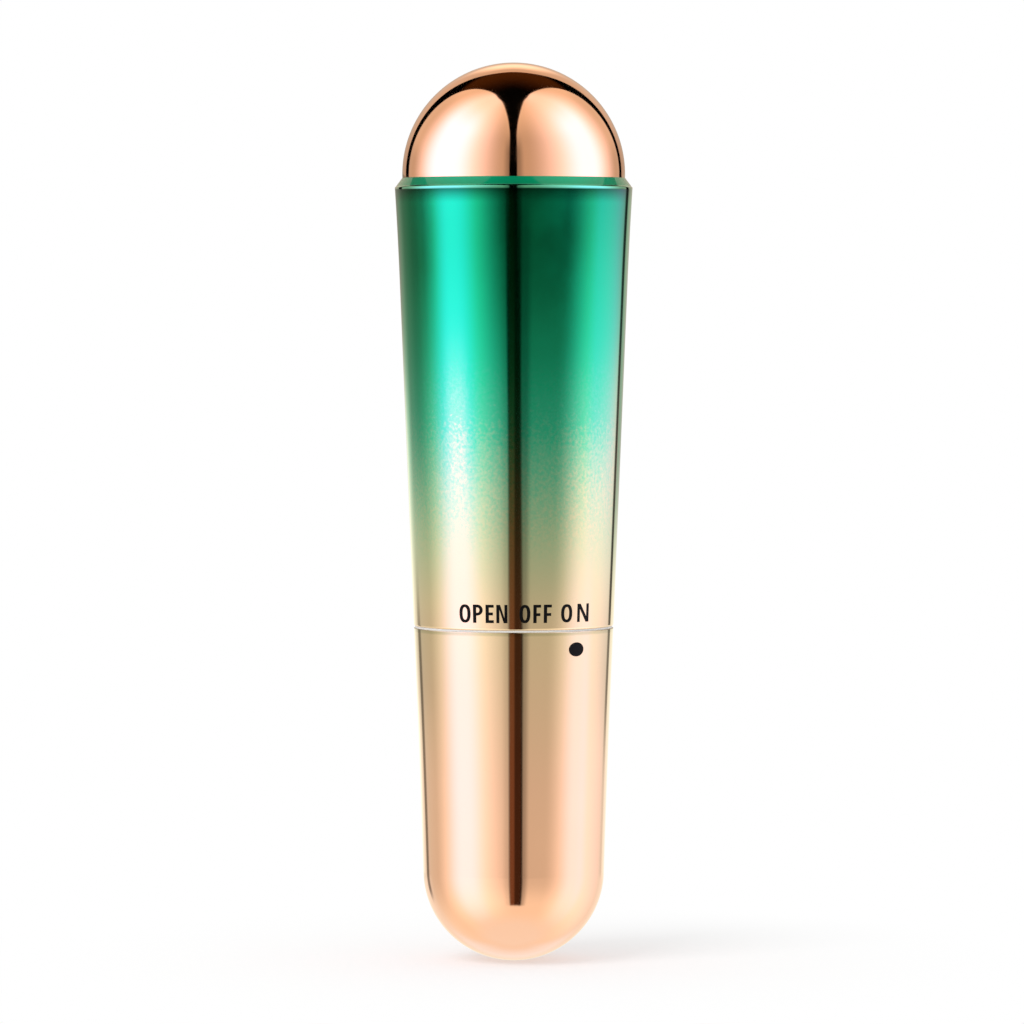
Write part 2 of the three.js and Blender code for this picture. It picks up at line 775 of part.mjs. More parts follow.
function makeMotorShaft() {
  return disc(shaftRadius, motorCanZ + shaftEndGap, weightTopZ + shaftEndGap, smallSides);
}

// A half disc on a hub, off balance on purpose
function makeEccentricWeight() {
  const shape = new THREE.Shape();
  shape.absarc(0, 0, weightRadius, Math.PI, 2 * Math.PI, false);
  shape.lineTo(weightHubRadius, 0);
  shape.absarc(0, 0, weightHubRadius, 0, Math.PI, false);
  shape.closePath();
  const hole = new THREE.Path();
  hole.absarc(0, 0, shaftRadius + shaftClearance / 2, 0, 2 * Math.PI, true);
  shape.holes.push(hole);
  const geometry = new THREE.ExtrudeGeometry(shape, {
    depth: weightLength,
    bevelEnabled: false,
    curveSegments: smallSides,
  });
  geometry.translate(0, 0, weightZ);
  return tidy(geometry);
}

function makeMotorTerminal(side) {
  const x = (side * terminalSpacing) / 2;
  return block(
    [x - terminalThickness / 2, -terminalWidth / 2, motorEndZ - terminalLength],
    [x + terminalThickness / 2, terminalWidth / 2, motorEndZ],
  );
}

// The positive contact: a disc above the cell and a tail through the partition
function makePositiveContact() {
  const face = disc(contactRadius, partitionZ - contactThickness, partitionZ, innerSides);
  const tail = block(
    [-contactTailWidth / 2, -contactThickness / 2, partitionZ - contactThickness / 2],
    [contactTailWidth / 2, contactThickness / 2, wireFloorZ + contactTailRise],
  );
  return join(face, tail);
}

// The strip from the neck, where the switch ring's wiper finds it, up to the motor
function makeNeckStrip() {
  const x = flatWithin(neckRadius) - stripThickness / 2;
  return backStrip([[x, padZ], [x, wireFloorZ + contactTailRise]], stripThickness, stripWidth);
}

// A lead in the wire space, which ends beside a terminal of the motor
function makeLead(shares) {
  const endX = (terminalSpacing + terminalThickness) / 2 + fitGap + leadRadius;
  const route = shares.map(([acrossShare, backShare, riseShare]) =>
    new THREE.Vector3(endX * acrossShare, neckRadius * backShare, wireFloorZ + wireSpace * riseShare));
  return wire(new THREE.CatmullRomCurve3(route), leadRadius, leadSteps, wireSides);
}

// The rubber ring that seals the neck in the liner
function makeNeckSeal() {
  const middle = linerNeckBore - sealGap - sealSection / 2;
  return turned(arc(middle, sealZ, sealSection / 2, 0, 360 * (1 - 1 / sealSides), sealSides - 1), innerSides);
}

// The split clip under the switch ring
function makeRingClip() {
  const bore = neckRadius - clipGrooveDepth + clipGrooveGap;
  return sector(bore, neckRadius + clipProud, clipZ, clipTopZ, clipGapEnd, clipGapStart + 360);
}

// The switch ring: it turns on the neck, and its dogs follow the liner
function makeSwitchRing() {
  const outer = lowerRimRadius - shellWall - ringClearance;
  const body = ring(linerNeckBore, outer, ringZ, rimHeight, innerSides);
  const dogOuter = outer - dogInset;
  const dogs = dogAngles.map((angle) => {
    const [start, end] = [angle - dogAngle / 2, angle + dogAngle / 2];
    return sector(dogOuter - dogReach, dogOuter, ringZ - dogLength, ringZ + overrun, start, end);
  });
  const slot = block(
    [-grooveWidth / 2 - grooveGap, neckRadius, ringZ - overrun],
    [grooveWidth / 2 + grooveGap, linerNeckBore + wiperSlotDepth, ringZ + wiperReach],
  );
  return cut(join(body, ...dogs), slot);
}

// The springy wiper in the switch ring: it joins the liner's strip to the neck's strip when switched on
function makeSwitchWiper() {
  const half = wiperThickness / 2;
  const outerX = linerNeckBore + wiperSlotDepth - grooveGap - half;
  const innerX = neckRadius + grooveGap + half;
  const heelZ = ringZ - half;
  const bendZ = ringZ + wiperReach - grooveGap - half;
  return backStrip(
    [
      [linerNeckBore + grooveGap, heelZ],
      [outerX, heelZ],
      [outerX, bendZ],
      [innerX, bendZ],
      [innerX, ringZ + grooveGap],
    ],
    wiperThickness,
    wiperWidth,
  );
}

// The bodies as groups, each holding its pieces
const pieces = {
  lowerBody: [
    ["lower_casing", makeLowerCasing(), roseGoldPlate],
    ["casing_liner", makeCasingLiner(), whiteNylon],
    ["spring_plate", makeSpringPlate(), brass],
    ["battery_spring", makeBatterySpring(), springSteel],
  ],
  battery: [
    ["battery_cell", makeBatteryCell(), cellWrap],
    ["battery_positive_cap", makeBatteryPositiveCap(), nickelSteel],
    ["battery_negative_cap", makeBatteryNegativeCap(), nickelSteel],
  ],
  switchRing: [
    ["switch_ring", makeSwitchRing(), ivoryAcetal],
    ["switch_wiper", makeSwitchWiper(), brass],
  ],
  upperBody: [
    ["upper_casing", makeUpperCasing(), emeraldPlate],
    ["massage_head", makeMassageHead(), roseGoldMetal],
    ["head_gasket", makeHeadGasket(), greySilicone],
    ["inner_frame", makeInnerFrame(), whiteNylon],
    ["motor_clamp", makeMotorClamp(), whiteNylon],
    ["clamp_screw_right", makeClampScrew(1), nickelSteel],
    ["clamp_screw_left", makeClampScrew(-1), nickelSteel],
    ["motor_sleeve", makeMotorSleeve(), greySilicone],
    ["motor_can", makeMotorCan(), nickelSteel],
    ["motor_end_cap", makeMotorEndCap(), blackInsulation],
    ["motor_magnet_right", makeMotorMagnet(0), ferrite],
    ["motor_magnet_left", makeMotorMagnet(180), ferrite],
    ["motor_terminal_positive", makeMotorTerminal(1), brass],
    ["motor_terminal_negative", makeMotorTerminal(-1), brass],
    ["positive_contact", makePositiveContact(), brass],
    ["neck_strip", makeNeckStrip(), brass],
    ["motor_lead_positive", makeLead(positiveLeadShares), redInsulation],
    ["motor_lead_negative", makeLead(negativeLeadShares), blackInsulation],
    ["neck_seal", makeNeckSeal(), blackRubber],
    ["ring_clip", makeRingClip(), springSteel],
  ],
  rotor: [
    ["motor_shaft", makeMotorShaft(), springSteel],
    ["motor_armature", makeMotorArmature(), copper],
    ["motor_commutator", makeMotorCommutator(), brass],
    ["eccentric_weight", makeEccentricWeight(), tungsten],
  ],
};

const wand = new THREE.Group();
for (const parts of Object.values(pieces)) {
  const body = new THREE.Group();
  for (const [name, geometry, material] of parts) {
    const mesh = new THREE.Mesh(geometry, material);
    mesh.name = name;
    body.add(mesh);
  }
  wand.add(body);
}

export default wand;
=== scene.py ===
# Looks of the eye lift wand: smooth shells and dome, switch marks, finishes, studio and camera.
# Metres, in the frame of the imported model: +Z up along the wand, and the front with the marks faces -Y.

import json
import math

import bmesh
import bpy
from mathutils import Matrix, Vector


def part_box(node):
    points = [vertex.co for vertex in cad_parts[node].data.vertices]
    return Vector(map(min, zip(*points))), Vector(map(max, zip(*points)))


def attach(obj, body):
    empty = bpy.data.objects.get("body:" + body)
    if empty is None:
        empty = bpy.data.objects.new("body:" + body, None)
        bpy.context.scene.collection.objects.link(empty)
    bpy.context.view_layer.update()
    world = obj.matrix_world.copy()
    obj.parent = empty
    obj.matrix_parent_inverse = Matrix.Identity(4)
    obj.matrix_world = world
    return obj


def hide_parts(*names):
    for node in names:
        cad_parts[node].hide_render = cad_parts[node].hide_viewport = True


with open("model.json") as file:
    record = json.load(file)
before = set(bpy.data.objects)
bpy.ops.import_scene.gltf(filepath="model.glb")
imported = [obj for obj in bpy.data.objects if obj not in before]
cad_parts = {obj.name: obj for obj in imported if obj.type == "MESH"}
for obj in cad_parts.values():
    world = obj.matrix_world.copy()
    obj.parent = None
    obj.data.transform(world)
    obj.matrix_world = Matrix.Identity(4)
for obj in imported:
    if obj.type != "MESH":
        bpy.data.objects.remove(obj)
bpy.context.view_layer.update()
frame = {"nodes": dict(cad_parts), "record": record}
nodes = frame["nodes"]

MM = 0.001
GRAPH_STEP = 220
GRAPH_ROWS = 4

# Sizes that the frame gives
lower_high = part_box("lower_casing")[1]
upper_low, upper_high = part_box("upper_casing")
head_low, head_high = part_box("massage_head")
gasket_low, gasket_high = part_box("head_gasket")
RIM_Z, RIM_RADIUS = lower_high.z, lower_high.x
FOOT_Z, SEAT_Z = upper_low.z, upper_high.z
DOME_RADIUS = head_high.x
DOME_CENTRE_Z = head_high.z - DOME_RADIUS
SPIGOT_FOOT_Z = head_low.z
SPIGOT_RADIUS = gasket_high.x
COLLAR_TOP_Z = gasket_low.z

# Sizes of the shells, as in the solids
SHELL_WALL = 1.5 * MM
FIT_GAP = 0.3 * MM
LOWER_TAPER = 0.98 * MM
LOWER_WAIST = 0.05 * MM
FOOT_STEP = 0.02 * MM
LIP_THICKNESS = 1.35 * MM
LIP_RADIUS = 7.5 * MM
DOME_WALL = 1.6 * MM
DOME_REVEAL = 0.05 * MM
SPIGOT_WALL = 1.5 * MM
SHOULDER_HEIGHT = 1.1 * MM
SHOULDER_OVERHANG = 0.68 * MM
LIP_FLARE_LENGTH = 10 * MM

# Edges, drawn finer than in the solids, and the angles in degrees between which two of them are rounded
FOOT_FILLET = 0.25 * MM
RIM_FILLET = 0.07 * MM
SHOULDER_FILLET = 0.2 * MM
EDGE_ROUND = 0.08 * MM
SHOULDER_TURN = (5, 60)
RIM_TURN = (45, 90)

# The seam: how far each casing closes it, and how deep and how far in its pale ring lies
SEAM_CLOSE = 0.09 * MM
SEAM_DEPTH = 1.2 * MM
SEAM_INSET = 0.12 * MM

LOWER_END_RADIUS = RIM_RADIUS - LOWER_TAPER
UPPER_FOOT_RADIUS = RIM_RADIUS + FOOT_STEP
UPPER_MOUTH_RADIUS = DOME_RADIUS + SHOULDER_OVERHANG
LIP_FLARE = upper_high.x - UPPER_MOUTH_RADIUS
SHOULDER_Z = SEAT_Z - SHOULDER_HEIGHT
MOUTH_BORE = SPIGOT_RADIUS + FIT_GAP

# Smoothness of the turned shells
SHELL_SIDES = 160
DOME_STEPS = 48
WALL_STEPS = 24
ROUND_STEPS = 6
SHARP_ANGLE = math.radians(32)
ON_AXIS = 0.001 * MM
SLOPE_STEP = 0.1 * MM
MERGE_DISTANCE = 0.0005 * MM

# Switch marks: sizes, and the angles where each letter starts and ends, in degrees from the front
MARK_FOOT_Z = 36.7 * MM
MARK_HEIGHT = 1.93 * MM
MARK_STROKE = 0.355 * MM
MARK_THICKNESS = 0.03 * MM
MARK_CUT = 0.25 * MM
MARK_LETTERS = (
    ("switch_mark_open", (
        ("O", -32.1, -25.1), ("P", -23.5, -17.7), ("E", -16.0, -11.3), ("N", -9.8, -3.5),
    )),
    ("switch_mark_off", (("O", 3.2, 9.4), ("F", 11.1, 15.5), ("F", 17.2, 21.9))),
    ("switch_mark_on", (("O", 27.8, 35.0), ("N", 38.8, 47.4))),
)
OVAL_STEPS = 40
BOWL_STEPS = 12
DOT_ANGLE = 38.8
DOT_Z = 33.8 * MM
DOT_HALF_WIDTH = 0.98 * MM
DOT_HALF_HEIGHT = 0.75 * MM
DOT_STEPS = 48

# The photograph's camera
CAMERA_DISTANCE = 650 * MM
CAMERA_Z = 71.3 * MM
CAMERA_X = -0.18 * MM
CAMERA_DROP = 2.05
CAMERA_LENS = 213.8
SENSOR_WIDTH = 36


def arc(centre_radius, centre_z, radius, start, end, steps):
    """Points of an arc in the turning plane, from one angle to another in degrees."""
    points = []
    for i in range(steps + 1):
        angle = math.radians(start + (end - start) * i / steps)
        points.append((centre_radius + radius * math.cos(angle), centre_z + radius * math.sin(angle)))
    return points


def heights(bottom, top, steps):
    """Evenly spaced heights, with both ends."""
    return [bottom + (top - bottom) * i / steps for i in range(steps + 1)]


def lower_outer(z):
    """The lower casing's outside: a slightly waisted taper above a round end."""
    along = (z - LOWER_END_RADIUS) / (RIM_Z - LOWER_END_RADIUS)
    return LOWER_END_RADIUS + LOWER_TAPER * along - LOWER_WAIST * 4 * along * (1 - along)


def upper_outer(z):
    """The upper casing's outside: a straight taper that flares a little under the shoulder."""
    along = (z - FOOT_Z) / (SHOULDER_Z - FOOT_Z)
    flare = max(0, (z - SHOULDER_Z + LIP_FLARE_LENGTH) / LIP_FLARE_LENGTH)
    return UPPER_FOOT_RADIUS + (UPPER_MOUTH_RADIUS - UPPER_FOOT_RADIUS) * along + LIP_FLARE * flare * flare


def on_wand(radius, angle, z):
    """A point at an angle in radians from the front, counted towards +X."""
    return Vector((radius * math.sin(angle), -radius * math.cos(angle), z))


def finish_mesh(name, bm):
    """Turns a bmesh into an object with smooth faces and sharp edges."""
    bmesh.ops.recalc_face_normals(bm, faces=bm.faces)
    for face in bm.faces:
        face.smooth = True
    for edge in bm.edges:
        edge.smooth = len(edge.link_faces) == 2 and edge.calc_face_angle(0) < SHARP_ANGLE
    mesh = bpy.data.meshes.new(name)
    bm.to_mesh(mesh)
    bm.free()
    piece = bpy.data.objects.new(name, mesh)
    bpy.context.scene.collection.objects.link(piece)
    return piece


def turned(name, outline):
    """Turns an outline of (radius, height) points about the wand's axis."""
    bm = bmesh.new()
    rings = []
    for radius, z in outline:
        if radius < ON_AXIS:
            rings.append([bm.verts.new((0, 0, z))])
        else:
            angles = [2 * math.pi * i / SHELL_SIDES for i in range(SHELL_SIDES)]
            rings.append([bm.verts.new(on_wand(radius, angle, z)) for angle in angles])
    if len(rings[0]) > 1:
        rings.append(rings[0])
    for low, high in zip(rings, rings[1:]):
        for i in range(SHELL_SIDES):
            ends = (i, (i + 1) % SHELL_SIDES)
            corners = [low[k % len(low)] for k in ends] + [high[k % len(high)] for k in reversed(ends)]
            bm.faces.new(list(dict.fromkeys(corners)))
    return finish_mesh(name, bm)


def place(piece, body, slot, material, *replaced):
    """Finishes a piece, and says which body it rides on and which CAD nodes it stands for."""
    piece.data.materials.append(material)
    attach(piece, body)
    if replaced:
        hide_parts(*replaced)


def make_lower_shell(material):
    """The lower casing: its round end, its wall up to the seam, and its inside."""
    end = arc(0, LOWER_END_RADIUS, LOWER_END_RADIUS, -90, 0, DOME_STEPS)
    top_z = RIM_Z + SEAM_CLOSE
    wall = [(lower_outer(z), z) for z in heights(LOWER_END_RADIUS, top_z - RIM_FILLET, WALL_STEPS)[1:]]
    rim = arc(RIM_RADIUS - RIM_FILLET, top_z - RIM_FILLET, RIM_FILLET, 0, 90, ROUND_STEPS)[1:]
    depths = reversed(heights(LOWER_END_RADIUS, top_z, WALL_STEPS))
    inside = [(lower_outer(z) - SHELL_WALL, z) for z in depths]
    inner_end = arc(0, LOWER_END_RADIUS, LOWER_END_RADIUS - SHELL_WALL, 0, -90, DOME_STEPS)[1:]
    piece = turned("lower_shell", end + wall + rim + inside + inner_end)
    lead_into_taper(piece.data)
    place(piece, "lower_body", "rose_gold_shell", material, "lower_casing")


def lead_into_taper(mesh):
    """Gives the outside the normals of its taper, and turns them evenly down the round end."""
    normals = []
    for vertex in mesh.vertices:
        x, y, z = vertex.co
        reach = math.hypot(x, y)
        below = max(0, LOWER_END_RADIUS - z)
        outside = math.hypot(reach, below) > LOWER_END_RADIUS - SHELL_WALL / 2
        if outside and reach > ON_AXIS and z < RIM_Z + SEAM_CLOSE - RIM_FILLET + ON_AXIS:
            foot_z = max(z, LOWER_END_RADIUS)
            slant = math.atan2(lower_outer(foot_z + SLOPE_STEP) - lower_outer(foot_z), SLOPE_STEP)
            tilt = slant + math.atan2(below, reach) * (1 - slant / (math.pi / 2))
            outward = math.cos(tilt) / reach
            normals.append(Vector((x * outward, y * outward, -math.sin(tilt))))
        else:
            normals.append((0, 0, 0))
    mesh.normals_split_custom_set_from_vertices(normals)


def make_upper_shell(material):
    """The upper casing: its wall, its sloped shoulder, its inside and the lip at its foot."""
    foot_z = FOOT_Z - SEAM_CLOSE
    foot = arc(UPPER_FOOT_RADIUS - FOOT_FILLET, foot_z + FOOT_FILLET, FOOT_FILLET, -90, 0, ROUND_STEPS)
    climb = heights(foot_z + FOOT_FILLET, SHOULDER_Z - SHOULDER_FILLET, 2 * WALL_STEPS)[1:]
    wall = [(upper_outer(z), z) for z in climb]
    brow = upper_outer(SHOULDER_Z) - SHOULDER_FILLET
    shoulder = arc(brow, SHOULDER_Z, SHOULDER_FILLET, *SHOULDER_TURN, ROUND_STEPS)
    rim_radius = DOME_RADIUS + DOME_REVEAL
    rim = arc(rim_radius - EDGE_ROUND, SEAT_Z - EDGE_ROUND, EDGE_ROUND, *RIM_TURN, ROUND_STEPS)
    depths = reversed(heights(FOOT_Z + LIP_THICKNESS, COLLAR_TOP_Z, WALL_STEPS))
    inside = [(upper_outer(z) - SHELL_WALL, z) for z in depths]
    lip = [(LIP_RADIUS, FOOT_Z + LIP_THICKNESS), (LIP_RADIUS, foot_z)]
    piece = turned("upper_shell", foot + wall + shoulder + rim + [(MOUTH_BORE, SEAT_Z)] + inside + lip)
    shade_as_taper(piece.data, foot_z + FOOT_FILLET, SHOULDER_Z - SHOULDER_FILLET)
    place(piece, "upper_body", "emerald_shell", material, "upper_casing")


def shade_as_taper(mesh, low_z, high_z):
    """Gives the outside between two heights the normals of the straight taper, for clean reflections."""
    slope = (UPPER_MOUTH_RADIUS - UPPER_FOOT_RADIUS) / (SHOULDER_Z - FOOT_Z)
    normals = []
    for vertex in mesh.vertices:
        x, y, z = vertex.co
        reach = math.hypot(x, y)
        outside = reach > upper_outer(z) - SHELL_WALL / 2
        if outside and low_z < z < high_z + ON_AXIS:
            normals.append(Vector((x / reach, y / reach, -slope)).normalized())
        else:
            normals.append((0, 0, 0))
    mesh.normals_split_custom_set_from_vertices(normals)


def make_seam_ring(material):
    """The pale ring that shows in the seam between the casings."""
    outer = RIM_RADIUS - SEAM_INSET
    outline = [(outer - SHELL_WALL, RIM_Z - SEAM_DEPTH), (outer, RIM_Z - SEAM_DEPTH), (outer, FOOT_Z)]
    piece = turned("seam_ring", outline + [(outer - SHELL_WALL, FOOT_Z)])
    place(piece, "lower_body", "white_nylon", material)


def make_dome(material):
    """The massage head: a hollow dome, and the spigot that goes down into the upper casing."""
    seat_angle = -math.degrees(math.asin((DOME_CENTRE_Z - SEAT_Z) / DOME_RADIUS))
    inner_radius = DOME_RADIUS - DOME_WALL
    bore = SPIGOT_RADIUS - SPIGOT_WALL
    bore_angle = math.degrees(math.acos(bore / inner_radius))
    outline = arc(0, DOME_CENTRE_Z, DOME_RADIUS, 90, seat_angle, 2 * DOME_STEPS)
    outline += [(SPIGOT_RADIUS, SEAT_Z), (SPIGOT_RADIUS, SPIGOT_FOOT_Z), (bore, SPIGOT_FOOT_Z)]
    outline += arc(0, DOME_CENTRE_Z, inner_radius, bore_angle, 90, DOME_STEPS)
    piece = turned("polished_dome", outline)
    place(piece, "upper_body", "rose_gold_metal", material, "massage_head")


# Letters are drawn in shares of their width and of the cap height. BAR_SHARE and the N's two shares are
# thicknesses against the stroke, and level strokes are thinner than upright ones.
BAR_SHARE = 0.85
OVAL_POWER = 2.4
P_BOWL_FOOT = 0.4
P_BOWL_START = 0.45
E_MIDDLE_REACH = 0.9
F_MIDDLE_REACH = 0.92
F_MIDDLE_HEIGHT = 0.46
N_UPRIGHT_SHARE = 0.9
N_SLANT_SHARE = 1.12
N_JOINT_HEIGHT = 0.26


def oval(centre, half_width, half_height):
    """A slightly squared oval, as the letter O has."""
    points = []
    for i in range(OVAL_STEPS):
        turn = 2 * math.pi * i / OVAL_STEPS
        across, up = math.cos(turn), math.sin(turn)
        grow = (abs(across) ** OVAL_POWER + abs(up) ** OVAL_POWER) ** (-1 / OVAL_POWER)
        points.append((centre[0] + half_width * grow * across, centre[1] + half_height * grow * up))
    return points


def letter_o(width, height, stroke):
    centre = (width / 2, height / 2)
    outer = oval(centre, width / 2, height / 2)
    inner = oval(centre, width / 2 - stroke, height / 2 - stroke * BAR_SHARE)
    return [outer, inner]


def letter_p(width, height, stroke):
    bowl_foot = height * P_BOWL_FOOT
    bowl_start = width * P_BOWL_START
    outer_reach = width - bowl_start
    outer_radius = (height - bowl_foot) / 2
    middle_z = height - outer_radius
    inner_radius = outer_radius - stroke * BAR_SHARE
    outer, inner = [], []
    for i in range(BOWL_STEPS + 1):
        turn = math.radians(90 - 180 * i / BOWL_STEPS)
        across, up = math.cos(turn), math.sin(turn)
        outer.append((bowl_start + outer_reach * across, middle_z + outer_radius * up))
        inner.append((bowl_start + (outer_reach - stroke) * across, middle_z + inner_radius * up))
    body = [(0, height)] + outer + [(stroke, bowl_foot), (stroke, 0), (0, 0)]
    hole = [(stroke, middle_z + inner_radius)] + inner + [(stroke, middle_z - inner_radius)]
    return [body, hole]


def letter_e(width, height, stroke):
    bar = stroke * BAR_SHARE
    low, high = (height - bar) / 2, (height + bar) / 2
    reach = width * E_MIDDLE_REACH
    return [[
        (0, 0), (width, 0), (width, bar), (stroke, bar), (stroke, low), (reach, low), (reach, high),
        (stroke, high), (stroke, height - bar), (width, height - bar), (width, height), (0, height),
    ]]


def letter_f(width, height, stroke):
    bar = stroke * BAR_SHARE
    middle = height * F_MIDDLE_HEIGHT
    low, high = middle - bar / 2, middle + bar / 2
    reach = width * F_MIDDLE_REACH
    return [[
        (0, 0), (stroke, 0), (stroke, low), (reach, low), (reach, high), (stroke, high),
        (stroke, height - bar), (width, height - bar), (width, height), (0, height),
    ]]


def letter_n(width, height, stroke):
    upright = stroke * N_UPRIGHT_SHARE
    slant = stroke * N_SLANT_SHARE
    joint = height * N_JOINT_HEIGHT
    return [[
        (0, 0), (upright, 0), (upright, height - joint), (width - slant, 0), (width, 0), (width, height),
        (width - upright, height), (width - upright, joint), (slant, height), (0, height),
    ]]


LETTERS = {"O": letter_o, "P": letter_p, "E": letter_e, "F": letter_f, "N": letter_n}


def flat_solid(name, loops, thickness):
    """A thin solid with the given outline and holes, as a mesh in the plane of x and y."""
    curve = bpy.data.curves.new(name, "CURVE")
    curve.dimensions = "2D"
    curve.fill_mode = "BOTH"
    curve.extrude = thickness / 2
    for loop in loops:
        spline = curve.splines.new("POLY")
        spline.points.add(len(loop) - 1)
        for point, (x, y) in zip(spline.points, loop):
            point.co = (x, y, 0, 1)
        spline.use_cyclic_u = True
    holder = bpy.data.objects.new(name, curve)
    bpy.context.scene.collection.objects.link(holder)
    bpy.context.view_layer.update()
    mesh = bpy.data.meshes.new_from_object(holder.evaluated_get(bpy.context.evaluated_depsgraph_get()))
    bpy.data.objects.remove(holder)
    bpy.data.curves.remove(curve)
    cut_across(mesh)
    return mesh


def cut_across(mesh):
    """Cuts a flat solid into narrow strips, so that it can follow a round wall."""
    bm = bmesh.new()
    bm.from_mesh(mesh)
    left = min(vert.co.x for vert in bm.verts)
    right = max(vert.co.x for vert in bm.verts)
    for i in range(1, math.ceil((right - left) / MARK_CUT)):
        whole = bm.verts[:] + bm.edges[:] + bm.faces[:]
        bmesh.ops.bisect_plane(bm, geom=whole, plane_co=(left + i * MARK_CUT, 0, 0), plane_no=(1, 0, 0))
    bm.to_mesh(mesh)
    bm.free()


def wrapped(name, solids, outer):
    """Joins flat solids, each with its start angle and foot height, and wraps them round a shell."""
    bm = bmesh.new()
    for mesh, start_angle, foot_z in solids:
        first = len(bm.verts)
        bm.from_mesh(mesh)
        bm.verts.ensure_lookup_table()
        for vert in list(bm.verts)[first:]:
            along, up, out = vert.co
            z = foot_z + up
            radius = outer(z)
            vert.co = on_wand(radius + out + MARK_THICKNESS / 2, start_angle + along / outer(foot_z), z)
        bpy.data.meshes.remove(mesh)
    bmesh.ops.remove_doubles(bm, verts=bm.verts, dist=MERGE_DISTANCE)
    return finish_mesh(name, bm)


def make_switch_marks(material):
    for name, letters in MARK_LETTERS:
        solids = []
        for letter, start, end in letters:
            width = math.radians(end - start) * upper_outer(MARK_FOOT_Z)
            loops = LETTERS[letter](width, MARK_HEIGHT, MARK_STROKE)
            solids.append((flat_solid(name, loops, MARK_THICKNESS), math.radians(start), MARK_FOOT_Z))
        place(wrapped(name, solids, upper_outer), "upper_body", "black_insulation", material)


def make_switch_dot(material):
    turns = [2 * math.pi * i / DOT_STEPS for i in range(DOT_STEPS)]
    loop = [(DOT_HALF_WIDTH * math.cos(turn), DOT_HALF_HEIGHT * math.sin(turn)) for turn in turns]
    solids = [(flat_solid("switch_dot", [loop], MARK_THICKNESS), math.radians(DOT_ANGLE), DOT_Z)]
    place(wrapped("switch_dot", solids, lower_outer), "lower_body", "black_insulation", material)


class Level:
    """A number inside a node tree that can be added, taken away and multiplied."""

    def __init__(self, graph, socket):
        self.graph = graph
        self.socket = socket

    def __add__(self, other):
        return self.graph.calc("ADD", self, other)

    def __sub__(self, other):
        return self.graph.calc("SUBTRACT", self, other)

    def __rsub__(self, other):
        return self.graph.calc("SUBTRACT", other, self)

    def __mul__(self, other):
        return self.graph.calc("MULTIPLY", self, other)


class Graph:
    """A node tree with short words for adding and joining nodes."""

    def __init__(self, tree):
        self.tree = tree
        tree.nodes.clear()

    def add(self, kind, inputs=None, **settings):
        node = self.tree.nodes.new(kind)
        column, row = divmod(len(self.tree.nodes), GRAPH_ROWS)
        node.location = (GRAPH_STEP * column, -GRAPH_STEP * row)
        for name, value in settings.items():
            setattr(node, name, value)
        for name, value in (inputs or {}).items():
            self.feed(node, name, value)
        return node

    def feed(self, node, name, value):
        """Joins a socket to an input, or sets the input to a value."""
        if isinstance(value, Level):
            value = value.socket
        if isinstance(value, bpy.types.NodeSocket):
            self.tree.links.new(value, node.inputs[name])
        else:
            node.inputs[name].default_value = value

    def calc(self, operation, *values):
        node = self.add("ShaderNodeMath", dict(enumerate(values)), operation=operation)
        return Level(self, node.outputs[0])

    def step(self, value, start, end, low=0.0, high=1.0):
        """Eases from low at start to high at end."""
        if start > end:
            start, end, low, high = end, start, high, low
        inputs = {"Value": value, "From Min": start, "From Max": end, "To Min": low, "To Max": high}
        node = self.add("ShaderNodeMapRange", inputs, interpolation_type="SMOOTHSTEP")
        return Level(self, node.outputs[0])

    def window(self, value, rise, full, ebb, gone):
        """Eases from 0 at rise to 1 at full, and back from ebb to gone."""
        return self.step(value, rise, full) * self.step(value, ebb, gone, 1.0, 0.0)

    def blend(self, share, first, second):
        """Mixes two numbers."""
        inputs = {"Factor": share, 2: first, 3: second}
        return Level(self, self.add("ShaderNodeMix", inputs, data_type="FLOAT").outputs[0])

    def mix(self, share, first, second):
        """Mixes two colours."""
        inputs = {"Factor": share, 6: first, 7: second}
        return self.add("ShaderNodeMix", inputs, data_type="RGBA").outputs[2]

    def ramp(self, share, stops):
        """Colours at places from 0 to 1, blended evenly from one to the next."""
        node = self.add("ShaderNodeValToRGB", {"Fac": share})
        elements = node.color_ramp.elements
        for _ in stops[2:]:
            elements.new(0.5)
        for element, (position, colour) in zip(elements, stops):
            element.position = position
            element.color = colour
        return node.outputs["Color"]

    def light(self, level, colour):
        """A light of a colour, as strong as the level."""
        return self.add("ShaderNodeVectorMath", {0: colour, "Scale": level}, operation="SCALE").outputs[0]

    def total(self, *lights):
        """The sum of the lights."""
        whole = lights[0]
        for light in lights[1:]:
            whole = self.add("ShaderNodeVectorMath", {0: whole, 1: light}, operation="ADD").outputs[0]
        return whole

    def position(self):
        """The place on the object, in metres."""
        return self.add("ShaderNodeTexCoord").outputs["Object"]

    def noise(self, vector, size, detail, roughness=0.5):
        inputs = {"Vector": vector, "Scale": 1 / size, "Detail": detail, "Roughness": roughness}
        return Level(self, self.add("ShaderNodeTexNoise", inputs).outputs["Fac"])

    def spread(self, noise, low, high, reach=0.2):
        """Eases from low to high over the middle of a noise, as far as reach to either side."""
        return self.step(noise, 0.5 - reach, 0.5 + reach, low, high)

    def bump(self, height, distance):
        return self.add("ShaderNodeBump", {"Height": height, "Distance": distance}).outputs["Normal"]


def rgb(red, green, blue):
    """A colour from 8-bit values as seen on screen, made linear."""
    linear = []
    for level in (red, green, blue):
        share = level / 255
        linear.append(share / 12.92 if share <= 0.04045 else ((share + 0.055) / 1.055) ** 2.4)
    return (*linear, 1.0)


def shade(colour, factor):
    """The same colour, lighter or darker."""
    return tuple(min(1.0, level * factor) for level in colour[:3]) + (1.0,)


